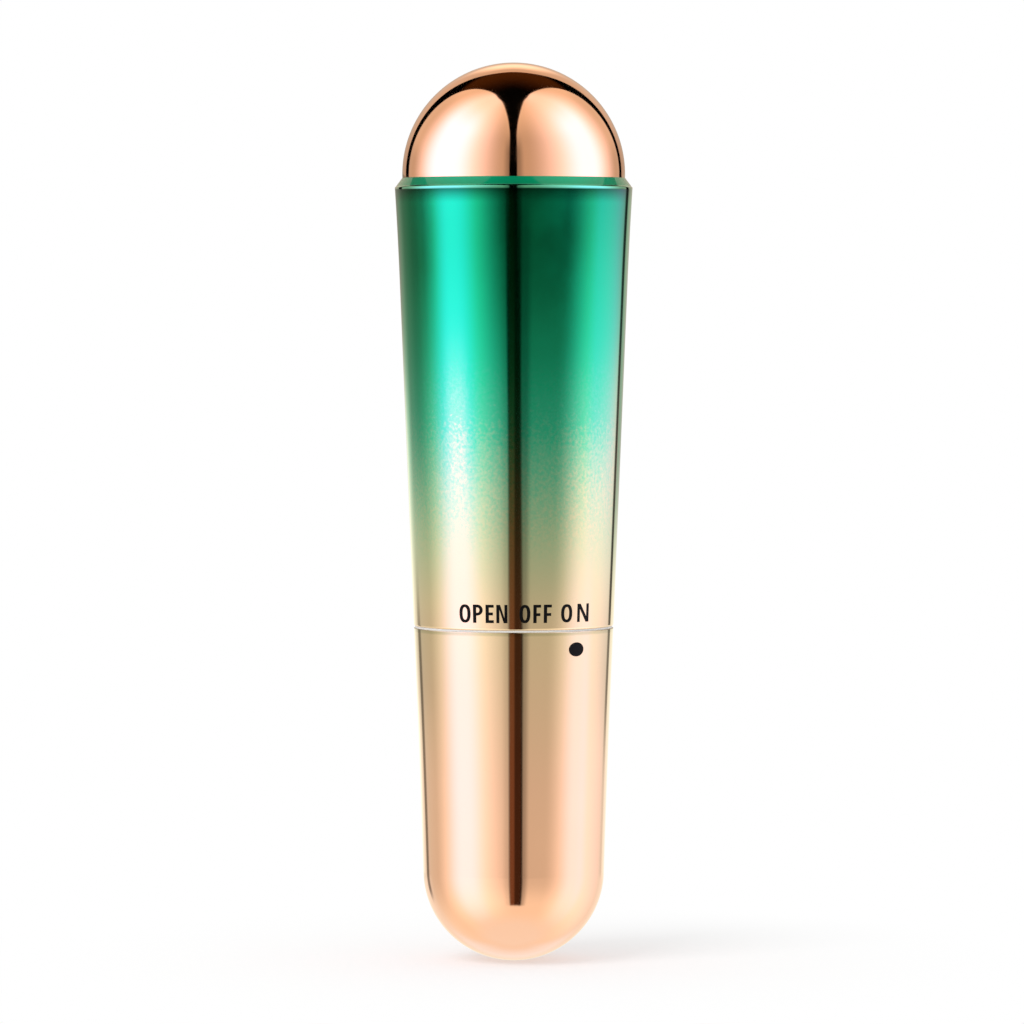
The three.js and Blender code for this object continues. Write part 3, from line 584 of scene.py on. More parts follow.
def new_material(name, **sockets):
    """A material with one Principled shader, whose named sockets are set."""
    material = bpy.data.materials.new(name)
    material.use_nodes = True
    graph = Graph(material.node_tree)
    shader = graph.add("ShaderNodeBsdfPrincipled", sockets)
    output = graph.add("ShaderNodeOutputMaterial", {"Surface": shader.outputs[0]})
    output.location = (GRAPH_STEP * 8, 0)
    shader.location = (GRAPH_STEP * 7, 0)
    return material, graph, shader


# Colours of the plating at heights along the wand, with painted shade under the lip and along the top edge
# of the lower casing, and a painted highlight along the shoulder's edge
LOWER_COLOURS_WITH_PAINTED_SHADE = (
    (0, rgb(249, 193, 165)),
    (6 * MM, rgb(249, 193, 165)),
    (19.4 * MM, rgb(245, 197, 170)),
    (30 * MM, rgb(236, 203, 172)),
    (35.25 * MM, rgb(231, 207, 173)),
    # Painted shade: a darker olive band along the top edge, beside the seam
    (35.42 * MM, rgb(200, 186, 150)),
    (35.8 * MM, rgb(200, 186, 150)),
)
UPPER_COLOURS_WITH_PAINTED_LIGHT = (
    (35.8 * MM, rgb(236, 208, 176)),
    (38.6 * MM, rgb(227, 210, 175)),
    (45 * MM, rgb(188, 210, 173)),
    (49.2 * MM, rgb(152, 209, 173)),
    (53.5 * MM, rgb(108, 207, 171)),
    (57.8 * MM, rgb(54, 206, 166)),
    (64 * MM, rgb(22, 206, 158)),
    (71 * MM, rgb(15, 205, 149)),
    (77 * MM, rgb(13, 203, 143)),
    (81 * MM, rgb(13, 203, 143)),
    # Painted shade: the plating darkens into a band just under the lip
    (82 * MM, rgb(6, 146, 100)),
    (82.45 * MM, rgb(1, 102, 72)),
    # Painted highlight: a pale line along the shoulder's rounded edge
    (82.58 * MM, rgb(104, 197, 162)),
    (82.7 * MM, rgb(104, 197, 162)),
    (82.85 * MM, rgb(1, 165, 112)),
    (83.7 * MM, rgb(1, 172, 122)),
)


# The plating's speckle: a noise of this size, detail and roughness, the heights where it starts, is full,
# ebbs and ends, and the heights between which it grows
SPECKLE_NOISE = (0.34 * MM, 1.5, 0.55)
SPECKLE_HEIGHTS = (40 * MM, 50 * MM, 61 * MM, 68 * MM)
SPECKLE_GROWTH = (54 * MM, 61 * MM, 1.0, 1.25)
SPECKLE_DRIFT = 10 * MM

# Patterns in the other finishes, and the gloss that they move between
SMEAR_SIZE = 6 * MM
PLATING_GLOSS = (0.055, 0.075)
SHOULDER_HAZE = 0.42
SHOULDER_HAZE_START = (0.15 * MM, 0.3 * MM)
DOME_CLOUD_SIZE = 9 * MM
DOME_HAZE_SIZE = 2.5 * MM
DOME_GLOSS = (0.045, 0.07)
INK_COVER_SIZE = 0.2 * MM
INK_GLOSS = (0.4, 0.55)
MOULD_CLOUD_SIZE = 4 * MM
TARNISH_SIZE = 1.5 * MM
COARSE_REACH = 0.25

# The cell's wrap: depths below its top, heights above its foot, and its lapped edge, an angle in radians
WRAP_BAND = (9.53 * MM, 9.47 * MM)
WRAP_LINE = (10.4 * MM, 10.37 * MM, 10.05 * MM, 10.02 * MM)
WRAP_FOOT = (1.2 * MM, 1.14 * MM)
WRAP_LAP = (1.9, 1.91, 1.93, 1.98)
WRAP_CLOUD_SIZE = 3 * MM
WRAP_CREASE_SIZE = 1.2 * MM
WRAP_CREASE_DEPTH = 0.25
WRAP_RELIEF = 0.03 * MM
WRAP_GLOSS = (0.28, 0.38)

# The armature: the pitch of its plates, and where its steel rim starts
PLATE_PITCH = 0.35 * MM
PLATE_RELIEF = 0.02 * MM
STEEL_RIM = (3.4 * MM, 3.5 * MM)
COPPER = rgb(176, 98, 54)
PLATE_STEEL = rgb(128, 126, 122)


def plated(name, stops, speckle):
    """A mirror coat under clear lacquer, whose colour fades along the wand with a fine speckle, and whose
    colour stops also carry painted shade and highlights.
    """
    material, graph, shader = new_material(
        name,
        **{"Metallic": 1.0, "Coat Weight": 1.0, "Coat Roughness": 0.03, "Coat IOR": 1.26},
    )
    low_z, high_z = stops[0][0], stops[-1][0]
    spot = graph.position()
    z = graph.add("ShaderNodeSeparateXYZ", {0: spot}).outputs["Z"]
    grain = graph.noise(spot, *SPECKLE_NOISE)
    drift = (grain - 0.5) * graph.window(z, *SPECKLE_HEIGHTS) * speckle
    drift = drift * graph.step(z, *SPECKLE_GROWTH)
    span = {"Value": drift + z, "From Min": low_z, "From Max": high_z}
    share = graph.add("ShaderNodeMapRange", span).outputs[0]
    colour = graph.ramp(share, [((at - low_z) / (high_z - low_z), tone) for at, tone in stops])
    graph.feed(shader, "Base Color", colour)
    smear = graph.noise(spot, SMEAR_SIZE, 3.0)
    brushed = graph.step(z, *(SHOULDER_Z + rise for rise in SHOULDER_HAZE_START)) * SHOULDER_HAZE
    graph.feed(shader, "Roughness", graph.spread(smear, *PLATING_GLOSS) + brushed)
    return material


def make_shell_finishes():
    lower = plated("rose_gold_plating_with_painted_shade", LOWER_COLOURS_WITH_PAINTED_SHADE, 0.0)
    upper = plated("emerald_plating_with_painted_light", UPPER_COLOURS_WITH_PAINTED_LIGHT, SPECKLE_DRIFT)
    return lower, upper


def make_dome_finish():
    """Polished plating with a faint cloud and a fine haze."""
    material, graph, shader = new_material("rose_gold_polish", **{"Metallic": 1.0})
    spot = graph.position()
    cloud = graph.noise(spot, DOME_CLOUD_SIZE, 2.0)
    graph.feed(shader, "Base Color", graph.mix(cloud, rgb(250, 194, 157), rgb(247, 190, 153)))
    haze = graph.noise(spot, DOME_HAZE_SIZE, 4.0)
    graph.feed(shader, "Roughness", graph.spread(haze, *DOME_GLOSS))
    return material


def make_ink_finish():
    """Matt black printing ink that covers a little unevenly."""
    material, graph, shader = new_material("mark_ink", **{"Specular IOR Level": 0.08})
    cover = graph.noise(graph.position(), INK_COVER_SIZE, 3.0)
    graph.feed(shader, "Base Color", graph.mix(cover, rgb(4, 4, 4), rgb(16, 15, 15)))
    graph.feed(shader, "Roughness", graph.spread(cover, *INK_GLOSS))
    return material


def moulded(name, colour, roughness, grain=0.25 * MM, depth=0.004 * MM, **sockets):
    """Moulded plastic or rubber: slight clouding, a fine spark-eroded grain and uneven gloss."""
    material, graph, shader = new_material(name, **sockets)
    spot = graph.position()
    cloud = graph.noise(spot, MOULD_CLOUD_SIZE, 4.0)
    graph.feed(shader, "Base Color", graph.mix(cloud, shade(colour, 0.9), shade(colour, 1.06)))
    fine = graph.noise(spot, grain, 3.0, 0.6)
    gloss = graph.spread(fine, roughness - 0.06, roughness + 0.08, COARSE_REACH)
    graph.feed(shader, "Roughness", gloss)
    graph.feed(shader, "Normal", graph.bump(fine, depth))
    return material


def drawn_metal(
    name, colour, roughness, streak=(0.1 * MM, 0.1 * MM, 3 * MM), tarnish=None, depth=0.002 * MM,
):
    """Bare or plated metal: drawing streaks along the wand and a thin uneven tarnish."""
    material, graph, shader = new_material(name, **{"Metallic": 1.0})
    spot = graph.position()
    scale = tuple(1 / size for size in streak)
    stretched = graph.add("ShaderNodeVectorMath", {0: spot, 1: scale}, operation="MULTIPLY").outputs[0]
    lines = graph.noise(stretched, 1.0, 3.0)
    cloud = graph.noise(spot, TARNISH_SIZE, 4.0)
    patches = graph.step(cloud, 0.45, 0.75)
    graph.feed(shader, "Base Color", graph.mix(patches, colour, tarnish or shade(colour, 0.8)))
    gloss = graph.spread(lines, roughness - 0.07, roughness + 0.1, COARSE_REACH)
    graph.feed(shader, "Roughness", gloss)
    graph.feed(shader, "Normal", graph.bump(lines, depth))
    return material


def make_cell_finish():
    """A plain printed wrap: a dark body, a copper band at the positive end, and the wrap's lapped edge."""
    material, graph, shader = new_material(
        "cell_wrap_print",
        **{"Metallic": 0.35, "Coat Weight": 0.6, "Coat Roughness": 0.12},
    )
    low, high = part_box("battery_cell")
    spot = graph.position()
    parts = graph.add("ShaderNodeSeparateXYZ", {0: spot})
    z = parts.outputs["Z"]
    copper = graph.step(z, *(high.z - depth for depth in WRAP_BAND))
    line = graph.window(z, *(high.z - depth for depth in WRAP_LINE))
    foot = graph.step(z, *(low.z + height for height in WRAP_FOOT))
    cloud = graph.noise(spot, WRAP_CLOUD_SIZE, 3.0)
    body = graph.mix(cloud, rgb(28, 66, 96), rgb(36, 80, 112))
    top = graph.mix(cloud, rgb(196, 126, 84), rgb(208, 140, 96))
    colour = graph.mix(copper, body, top)
    colour = graph.mix(line, colour, rgb(216, 216, 210))
    colour = graph.mix(foot, colour, rgb(150, 152, 154))
    graph.feed(shader, "Base Color", colour)
    turn = graph.calc("ARCTAN2", parts.outputs["Y"], parts.outputs["X"])
    lap = graph.window(turn, *WRAP_LAP)
    creases = graph.noise(spot, WRAP_CREASE_SIZE, 3.0)
    graph.feed(shader, "Roughness", graph.spread(creases, *WRAP_GLOSS))
    graph.feed(shader, "Normal", graph.bump(lap + creases * WRAP_CREASE_DEPTH, WRAP_RELIEF))
    return material


def make_winding_finish():
    """The armature: laminated steel at its rim and enamelled copper turns between."""
    material, graph, shader = new_material("wound_armature", **{"Metallic": 1.0})
    spot = graph.position()
    parts = graph.add("ShaderNodeSeparateXYZ", {0: spot})
    plates = graph.calc("SINE", graph.calc("MULTIPLY", parts.outputs["Z"], 2 * math.pi / PLATE_PITCH))
    reach = graph.add("ShaderNodeVectorMath", {0: spot, 1: (1, 1, 0)}, operation="MULTIPLY").outputs[0]
    radius = graph.add("ShaderNodeVectorMath", {0: reach}, operation="LENGTH").outputs["Value"]
    colour = graph.mix(graph.step(radius, *STEEL_RIM), COPPER, PLATE_STEEL)
    proud = graph.step(plates, -1, 1)
    graph.feed(shader, "Base Color", graph.mix(proud, shade(COPPER, 0.6), colour))
    graph.feed(shader, "Roughness", graph.step(plates, -1, 1, 0.5, 0.32))
    graph.feed(shader, "Normal", graph.bump(plates, PLATE_RELIEF))
    return material


def smooth_by_angle():
    """Geometry nodes that shade a CAD node smoothly between its sharp edges."""
    group = bpy.data.node_groups.new("smooth_by_angle", "GeometryNodeTree")
    group.interface.new_socket("Geometry", in_out="INPUT", socket_type="NodeSocketGeometry")
    group.interface.new_socket("Geometry", in_out="OUTPUT", socket_type="NodeSocketGeometry")
    graph = Graph(group)
    start = graph.add("NodeGroupInput")
    every = {"Geometry": start.outputs[0], "Shade Smooth": True}
    faces = graph.add("GeometryNodeSetShadeSmooth", every, domain="FACE")
    angle = graph.add("GeometryNodeInputMeshEdgeAngle").outputs["Unsigned Angle"]
    flat = graph.add("FunctionNodeCompare", {0: angle, 1: SHARP_ANGLE}, operation="LESS_THAN")
    joined = {"Geometry": faces.outputs[0], "Shade Smooth": flat.outputs["Result"]}
    edges = graph.add("GeometryNodeSetShadeSmooth", joined, domain="EDGE")
    graph.add("NodeGroupOutput", {0: edges.outputs[0]})
    return group


def dress_nodes():
    """Gives each CAD node that still shows its material and smooth shading."""
    soft_glow = {"Subsurface Weight": 0.05}
    insulation = {"grain": 0.5 * MM, "depth": 0.003 * MM}
    dark_brass = rgb(176, 136, 72)
    finishes = {
        "white_nylon": moulded("white_nylon_moulding", rgb(233, 229, 218), 0.42, **soft_glow),
        "ivory_acetal": moulded("ivory_acetal_moulding", rgb(222, 216, 198), 0.36),
        "black_nylon": moulded("black_nylon_moulding", rgb(34, 34, 36), 0.45),
        "black_rubber": moulded("black_rubber_moulding", rgb(26, 26, 28), 0.62, 0.12 * MM, 0.006 * MM),
        "grey_silicone": moulded("grey_silicone_moulding", rgb(142, 144, 147), 0.55, 0.4 * MM, 0.003 * MM),
        "red_insulation": moulded("red_insulation_skin", rgb(186, 40, 32), 0.35, **insulation),
        "black_insulation": moulded("black_insulation_skin", rgb(24, 24, 26), 0.35, **insulation),
        "ferrite": moulded("ferrite_sinter", rgb(62, 62, 64), 0.6, 0.1 * MM, 0.008 * MM),
        "nickel_steel": drawn_metal("nickel_plate", rgb(206, 205, 200), 0.24),
        "spring_steel": drawn_metal("spring_wire", rgb(212, 212, 212), 0.2),
        "contact_brass": drawn_metal("contact_brass_strip", rgb(222, 184, 108), 0.26, tarnish=dark_brass),
        "weight_metal": drawn_metal(
            "sintered_weight", rgb(150, 151, 154), 0.42, (0.12 * MM,) * 3, depth=0.006 * MM,
        ),
        "armature_steel": make_winding_finish(),
        "cell_wrap": make_cell_finish(),
    }
    smoothing = smooth_by_angle()
    slots = {part["node"]: part["material_slot"] for part in frame["record"]["subparts"]}
    for name, node in nodes.items():
        if node.hide_render:
            continue
        for material_slot in node.material_slots:
            material_slot.material = finishes[slots[name]]
        node.modifiers.new("smooth_by_angle", "NODES").node_group = smoothing


# Studio: directions are counted from the camera's side, in degrees: azimuth towards +X, and elevation up.
# A casing mirrors a height on the wand at a drop below the horizon, which is larger further down the wand.
# Four numbers for window are where a light starts, is full, ebbs and ends. Four for step are where a level
# starts and stops changing, and its values before and after. Two for step are where it goes from 0 to 1.

WARM_FILL = (1.05, 1.0, 0.8)
RAW_BLUE = (0.0, 0.0, 1.0)
RAW_RED = (1.0, 0.0, 0.0)
STRIP_BROWN = (0.19, 0.08, 0.035)
BASE_LIGHT = (1.04, 1.09, 0.99)
BASE_RIM = (1.02, 0.9, 0.7)
BASE_GLOW = (0.03, 0.22, 0.38)
DOME_FILL = (1.14, 0.98, 0.8)
DOME_SOFTBOX = (1.0, 1.0, 1.35)
DOME_CORE = (0.1, 0.12, 0.9)
REAR_WARM = (1.22, 1.0, 0.78)
CEILING_BROWN = (0.06, 0.02, 0.003)

# The casings' fill: how it grows with the drop, and where round the wand it is stronger or weaker
FILL_GROWTH = (
    (-1.45, 2.4, 0.0, 0.54),
    (2.2, 3.6, 0.0, 0.05),
    (3.55, 4.1, 0.0, 0.16),
    (5.0, 40.0, 0.0, 0.27),
)
LEFT_SIDE, LEFT_SIDE_DROPS, LEFT_SIDE_FILL = (-60, -120), (-0.6, 1.6, 2.6, 3.4), 0.14
LEFT_RIM, LEFT_RIM_DROPS, LEFT_RIM_FILL = (-138, -172), (0.0, 1.5, 4.0, 7.0), 0.5
BOTH_EDGES, BOTH_EDGES_FILL = (105, 140), (-0.5, 2.0, 0.12, 0.0)
LEFT_EDGE, LEFT_EDGE_FILL = (-95, -120), (-0.8, 0.8, 0.09, 0.0)
BROW_FILL = (-1.0, -0.3, 0.035, 0.0)
BESIDE_BOX, BESIDE_BOX_FILL = (-116, -104, -98, -88), (-0.6, 1.4, 0.09, 0.04)
DIM_SIDE, DIM_SIDE_SHARE = (-152, -138, -124, -108), (1.0, 2.2, 0.27, 0.0)
BEYOND_FLAG = (149, 153)
BEHIND, BEHIND_FILL = (168, 177), (1.4, 3.0, 0.48, 1.0)

# The casings' softboxes, with a bluer core in each and one red glare
BOX_END = (5.0, 75.0, 1.0, 0.0)
BOX_WIDENING = (-0.8, 1.2)
LEFT_BOX_HIGH, LEFT_BOX_LOW = (-105, -66, -64, -5), (-114, -66, -61, 6)
LEFT_BOX_LEVEL = (0.0, 3.0, 1.37, 0.88)
RIGHT_BOX_HIGH, RIGHT_BOX_MIDDLE, RIGHT_BOX_LOW = (52, 98, 104, 165), (44, 90, 102, 185), (38, 82, 90, 168)
RIGHT_BOX_NARROWING = (2.4, 3.4)
RIGHT_BOX_LEVEL = (0.6, 3.2, 0.98, 0.7)
RIGHT_BOX_ONSET = (-1.4, -0.2, 0.75, 1.0)
LEFT_CORE_HIGH, LEFT_CORE_LOW = (-89, -70, -58, -34), (-98, -70, -58, -32)
LEFT_CORE_LEVEL = (1.0, 2.0, 0.75, 0.45)
RIGHT_CORE, RIGHT_CORE_LEVEL = (80, 98, 124, 150), (1.0, 2.6, 0.33, 0.08)
RIGHT_CORE_LOW, RIGHT_CORE_LOW_LEVEL = (56, 78, 92, 108), (2.0, 3.2, 0.0, 0.25)
GLARE, GLARE_DROPS, GLARE_LEVEL = (-82, -65, -59, -45), (0.0, 1.0, 0.95, 1.4), 9.5

# The red in the softboxes: it rises, falls and ends, and higher on the wand it is less at the left
BLUSH_RISE = (0.1, 1.1, 1.0, 3.2)
BLUSH_FALL = (1.25, 2.3, 1.0, 0.38)
BLUSH_END = (2.3, 3.2, 1.0, 0.85)
BLUSH_EVENING = (1.7, 2.6)
BLUSH_SIDES = (-20, 20, 0.74, 1.0)
SOFTBOX_BLUE = 1.04

# The dark strip in front with its brown reflections, the shades beside it, and the flags behind
STRIP_END = (-42, -45.5, 1.0, 0.0)
STRIP_SHIFT = (0, 4.5, 0.0, 3.5)
STRIP_WIDENING = (-0.5, 1.5, 1.8, 0.0)
STRIP_LEFT, STRIP_RIGHT = (-7.5, -4.2), (6.0, 9.0, 1.0, 0.0)
RIGHT_SHADE, RIGHT_SHADE_SHARE = (6, 8, 12.5, 20), 0.45
LEFT_SHADE, LEFT_SHADE_SHARE = (-16, -8, -6, -4), 0.15
RIGHT_FLAG, RIGHT_FLAG_SHARE = (139.5, 144, 148.5, 152.5), (2.8, 3.2, 0.92, 0.7)
RIGHT_FLAG_END = (3.6, 4.4, 1.0, 0.15)
LEFT_FLAG, LEFT_FLAG_SHARE = (-150, -145, -141, -135.5), (2.3, 3.4, 0.0, 0.7)
LEFT_FLAG_END = (11.0, 18.0, 1.0, 0.0)
LEFT_BROWN = (-6, -4, -0.5, 2.5)
RIGHT_BROWN, RIGHT_BROWN_SHARE = (0, 3, 8, 10), 0.3
BROWN_LEVEL = (-0.4, 1.6, 0.1, 1.0)

# Light from below, which the round end mirrors
UNDER = (-50, -74)
UNDER_SIDES, UNDER_SIDES_DROPS = (125, 155), (4.5, 8.0)
RIM_SIDES, RIM_ELEVATIONS = (120, 165), (-78, -52)
GLOW_SIDES, GLOW_ELEVATIONS = (135, 158), (-70, -50, -42, -22)

# The dome's softboxes: azimuth of the middle, half width, height, and how round the upper corners are
DOME_LEFT_BOX = (-72, 68, 78.5, 0.2)
DOME_RIGHT_BOX = (72.5, 69.5, 80, 0.2)
DOME_REAR_BOX = (0, 31, 50, 0.5)
BOX_CORNER_POWER = 3.0
BOX_EDGE = (-0.2, 1.2)

# The levels over the dome's softboxes, by elevation and by azimuth
DOME_FILL_LEVEL = (30, 74, 0.55, 0.86)
DOME_SIDES, DOME_SIDES_HEIGHTS, DOME_SIDES_FILL = (95, 135), (6, 18, 45, 70), 0.17
DOME_WIDE_FADE = (36, 76)
DOME_LEFT_WIDE, DOME_LEFT_WIDE_LEVELS = (-129, -88, -62, -8), (1.3, 0.45)
DOME_RIGHT_WIDE, DOME_RIGHT_WIDE_LEVELS = (12, 80, 92, 134), (1.3, 0.38)
DOME_LEFT_CORE, DOME_LEFT_CORE_LEVEL = (-114, -86, -66, -38), (38, 66, 1.0, 0.0)
DOME_RIGHT_CORE, DOME_RIGHT_CORE_LEVEL = (48, 78, 90, 114), (38, 66, 0.85, 0.0)
DOME_MIDDLE, DOME_MIDDLE_HEIGHTS, DOME_MIDDLE_DIMMING = (12, 5), (45, 20), 0.45
REAR_LEVEL = (0, 20, 0.42, 0.6)
REAR_SPOT_HEIGHTS, REAR_SPOT, REAR_SPOT_LEVEL = (18, 29, 33, 44), (16, 4), 0.7
CEILING, CEILING_HEIGHTS = (85, 20), (43, 50, 54, 84)

# The world: the casings' light goes over to the dome's between two drops
VIEW_SLOPE = 4.9
DOME_START = (-1.55, -1.95)
PLAIN_LEVEL = 0.78
WHITE = (1.0, 1.0, 1.0, 1.0)


def casing_fill(graph, az, drop, turn, beyond):
    """The warm fill that grows down the wand, with brighter and dimmer places round it."""
    fill = graph.step(drop, *FILL_GROWTH[0])
    for growth in FILL_GROWTH[1:]:
        fill += graph.step(drop, *growth)
    fill += graph.step(az, *LEFT_SIDE) * graph.window(drop, *LEFT_SIDE_DROPS) * LEFT_SIDE_FILL
    fill += graph.window(drop, *LEFT_RIM_DROPS) * graph.step(az, *LEFT_RIM) * LEFT_RIM_FILL
    fill += graph.step(turn, *BOTH_EDGES) * graph.step(drop, *BOTH_EDGES_FILL)
    fill += graph.step(az, *LEFT_EDGE) * graph.step(drop, *LEFT_EDGE_FILL)
    fill += graph.step(drop, *BROW_FILL)
    fill += graph.window(az, *BESIDE_BOX) * graph.step(drop, *BESIDE_BOX_FILL)
    fill = fill * (1 - graph.window(az, *DIM_SIDE) * graph.step(drop, *DIM_SIDE_SHARE))
    hidden = graph.calc("MAXIMUM", beyond, graph.step(turn, *BEHIND))
    return graph.blend(hidden, fill, graph.step(drop, *BEHIND_FILL))


def casing_boxes(graph, az, drop, beyond):
    """The softboxes at the two sides, and the bluer core in each."""
    ball = graph.step(drop, *BOX_END)
    wide = graph.step(drop, *BOX_WIDENING)
    left = graph.blend(wide, graph.window(az, *LEFT_BOX_HIGH), graph.window(az, *LEFT_BOX_LOW))
    left = left * graph.step(drop, *LEFT_BOX_LEVEL)
    right = graph.blend(wide, graph.window(az, *RIGHT_BOX_HIGH), graph.window(az, *RIGHT_BOX_MIDDLE))
    right = graph.blend(graph.step(drop, *RIGHT_BOX_NARROWING), right, graph.window(az, *RIGHT_BOX_LOW))
    right = right * graph.step(drop, *RIGHT_BOX_LEVEL) * graph.step(drop, *RIGHT_BOX_ONSET)
    boxes = (left + right * (1 - beyond)) * ball
    cores = graph.blend(wide, graph.window(az, *LEFT_CORE_HIGH), graph.window(az, *LEFT_CORE_LOW))
    cores = cores * graph.step(drop, *LEFT_CORE_LEVEL)
    cores += graph.window(az, *RIGHT_CORE) * graph.step(drop, *RIGHT_CORE_LEVEL)
    cores += graph.window(az, *RIGHT_CORE_LOW) * graph.step(drop, *RIGHT_CORE_LOW_LEVEL)
    return boxes, cores * ball


def softbox_colour(graph, az, drop):
    """The softboxes' colour, with a red that changes down the wand."""
    blush = graph.step(drop, *BLUSH_RISE) * graph.step(drop, *BLUSH_FALL)
    blush = blush * graph.step(drop, *BLUSH_END)
    blush = blush * graph.blend(graph.step(drop, *BLUSH_EVENING), graph.step(az, *BLUSH_SIDES), 1.0)
    return graph.add("ShaderNodeCombineXYZ", {0: blush, 1: 1.0, 2: SOFTBOX_BLUE}).outputs[0]


def casing_light(graph, az, el, drop):
    """What the casings mirror: a warm fill, a softbox at each side, a strip in front and flags behind."""
    turn = graph.calc("ABSOLUTE", az)
    beyond = graph.step(az, *BEYOND_FLAG)
    fill = casing_fill(graph, az, drop, turn, beyond)
    boxes, cores = casing_boxes(graph, az, drop, beyond)
    glare = graph.window(az, *GLARE) * graph.window(drop, *GLARE_DROPS) * GLARE_LEVEL

    end = graph.step(el, *STRIP_END)
    shift = graph.step(drop, *STRIP_SHIFT)
    widening = graph.step(drop, *STRIP_WIDENING)
    strip = graph.step(az + widening, *STRIP_LEFT) * graph.step(az - shift, *STRIP_RIGHT) * end
    right_shade = graph.window(az, *RIGHT_SHADE) * RIGHT_SHADE_SHARE * end
    left_shade = graph.window(az, *LEFT_SHADE) * LEFT_SHADE_SHARE * end
    right_flag = graph.window(az, *RIGHT_FLAG) * graph.step(drop, *RIGHT_FLAG_SHARE) * end
    right_flag = right_flag * graph.step(drop, *RIGHT_FLAG_END)
    left_flag = graph.window(az, *LEFT_FLAG) * graph.step(drop, *LEFT_FLAG_SHARE)
    left_flag = left_flag * graph.step(drop, *LEFT_FLAG_END)
    lit = (1 - strip) * (1 - right_shade) * (1 - left_shade) * (1 - right_flag) * (1 - left_flag)
    brown = graph.window(az, *LEFT_BROWN) + graph.window(az, *RIGHT_BROWN) * RIGHT_BROWN_SHARE
    brown = brown * graph.step(drop, *BROWN_LEVEL) * end
    sides = graph.total(
        graph.light(fill * lit, WARM_FILL),
        graph.light(boxes * lit, softbox_colour(graph, az, drop)),
        graph.light(cores * lit, RAW_BLUE),
        graph.light(glare, RAW_RED),
        graph.light(brown, STRIP_BROWN),
    )

    rim = graph.step(turn, *RIM_SIDES) * graph.step(el, *RIM_ELEVATIONS)
    low_sides = graph.step(turn, *UNDER_SIDES) * graph.step(drop, *UNDER_SIDES_DROPS)
    under = graph.calc("MAXIMUM", graph.step(el, *UNDER), low_sides)
    clear = under * (1 - left_flag)
    glow = graph.step(turn, *GLOW_SIDES) * graph.window(el, *GLOW_ELEVATIONS)
    base = graph.total(
        graph.light((1 - rim) * clear, BASE_LIGHT),
        graph.light(rim * clear, BASE_RIM),
        graph.light(glow * clear, BASE_GLOW),
    )
    return graph.total(graph.light(1 - under, sides), base)


def lobe(graph, az, el, centre, reach, top, power):
    """A softbox with rounded upper corners and soft edges."""
    across = graph.calc("ABSOLUTE", az - centre) * (1 / reach)
    corner = graph.calc("MAXIMUM", 1 - graph.calc("POWER", across, BOX_CORNER_POWER), 0.0)
    upper_edge = graph.calc("POWER", corner, power) * top
    return graph.step(upper_edge - el, *BOX_EDGE) * graph.step(across, 1.0, 1.0 - BOX_EDGE[1] / reach)


def dome_light(graph, az, el):
    """What the dome mirrors: two tall softboxes in front, a low one behind and a dim ceiling."""
    boxes = lobe(graph, az, el, *DOME_LEFT_BOX) + lobe(graph, az, el, *DOME_RIGHT_BOX)
    fade = graph.step(el, *DOME_WIDE_FADE)
    turn = graph.calc("ABSOLUTE", az)
    fill = graph.step(el, *DOME_FILL_LEVEL)
    fill += graph.step(turn, *DOME_SIDES) * graph.window(el, *DOME_SIDES_HEIGHTS) * DOME_SIDES_FILL
    wide = graph.window(az, *DOME_LEFT_WIDE) * graph.blend(fade, *DOME_LEFT_WIDE_LEVELS)
    wide += graph.window(az, *DOME_RIGHT_WIDE) * graph.blend(fade, *DOME_RIGHT_WIDE_LEVELS)
    core = graph.window(az, *DOME_LEFT_CORE) * graph.step(el, *DOME_LEFT_CORE_LEVEL)
    core += graph.window(az, *DOME_RIGHT_CORE) * graph.step(el, *DOME_RIGHT_CORE_LEVEL)
    middle = graph.step(turn, *DOME_MIDDLE) * graph.step(el, *DOME_MIDDLE_HEIGHTS)
    boxes = boxes * (1 - middle * DOME_MIDDLE_DIMMING)
    back = 180 - turn
    rear = graph.step(el, *REAR_LEVEL)
    rear += graph.window(el, *REAR_SPOT_HEIGHTS) * graph.step(back, *REAR_SPOT) * REAR_SPOT_LEVEL
    rear = rear * lobe(graph, back, el, *DOME_REAR_BOX)
    ceiling = graph.step(back, *CEILING) * graph.window(el, *CEILING_HEIGHTS)
    return graph.total(
        graph.light(boxes * fill, DOME_FILL),
        graph.light(boxes * wide, DOME_SOFTBOX),
        graph.light(boxes * core, DOME_CORE),
        graph.light(rear, REAR_WARM),
        graph.light(ceiling, CEILING_BROWN),
    )


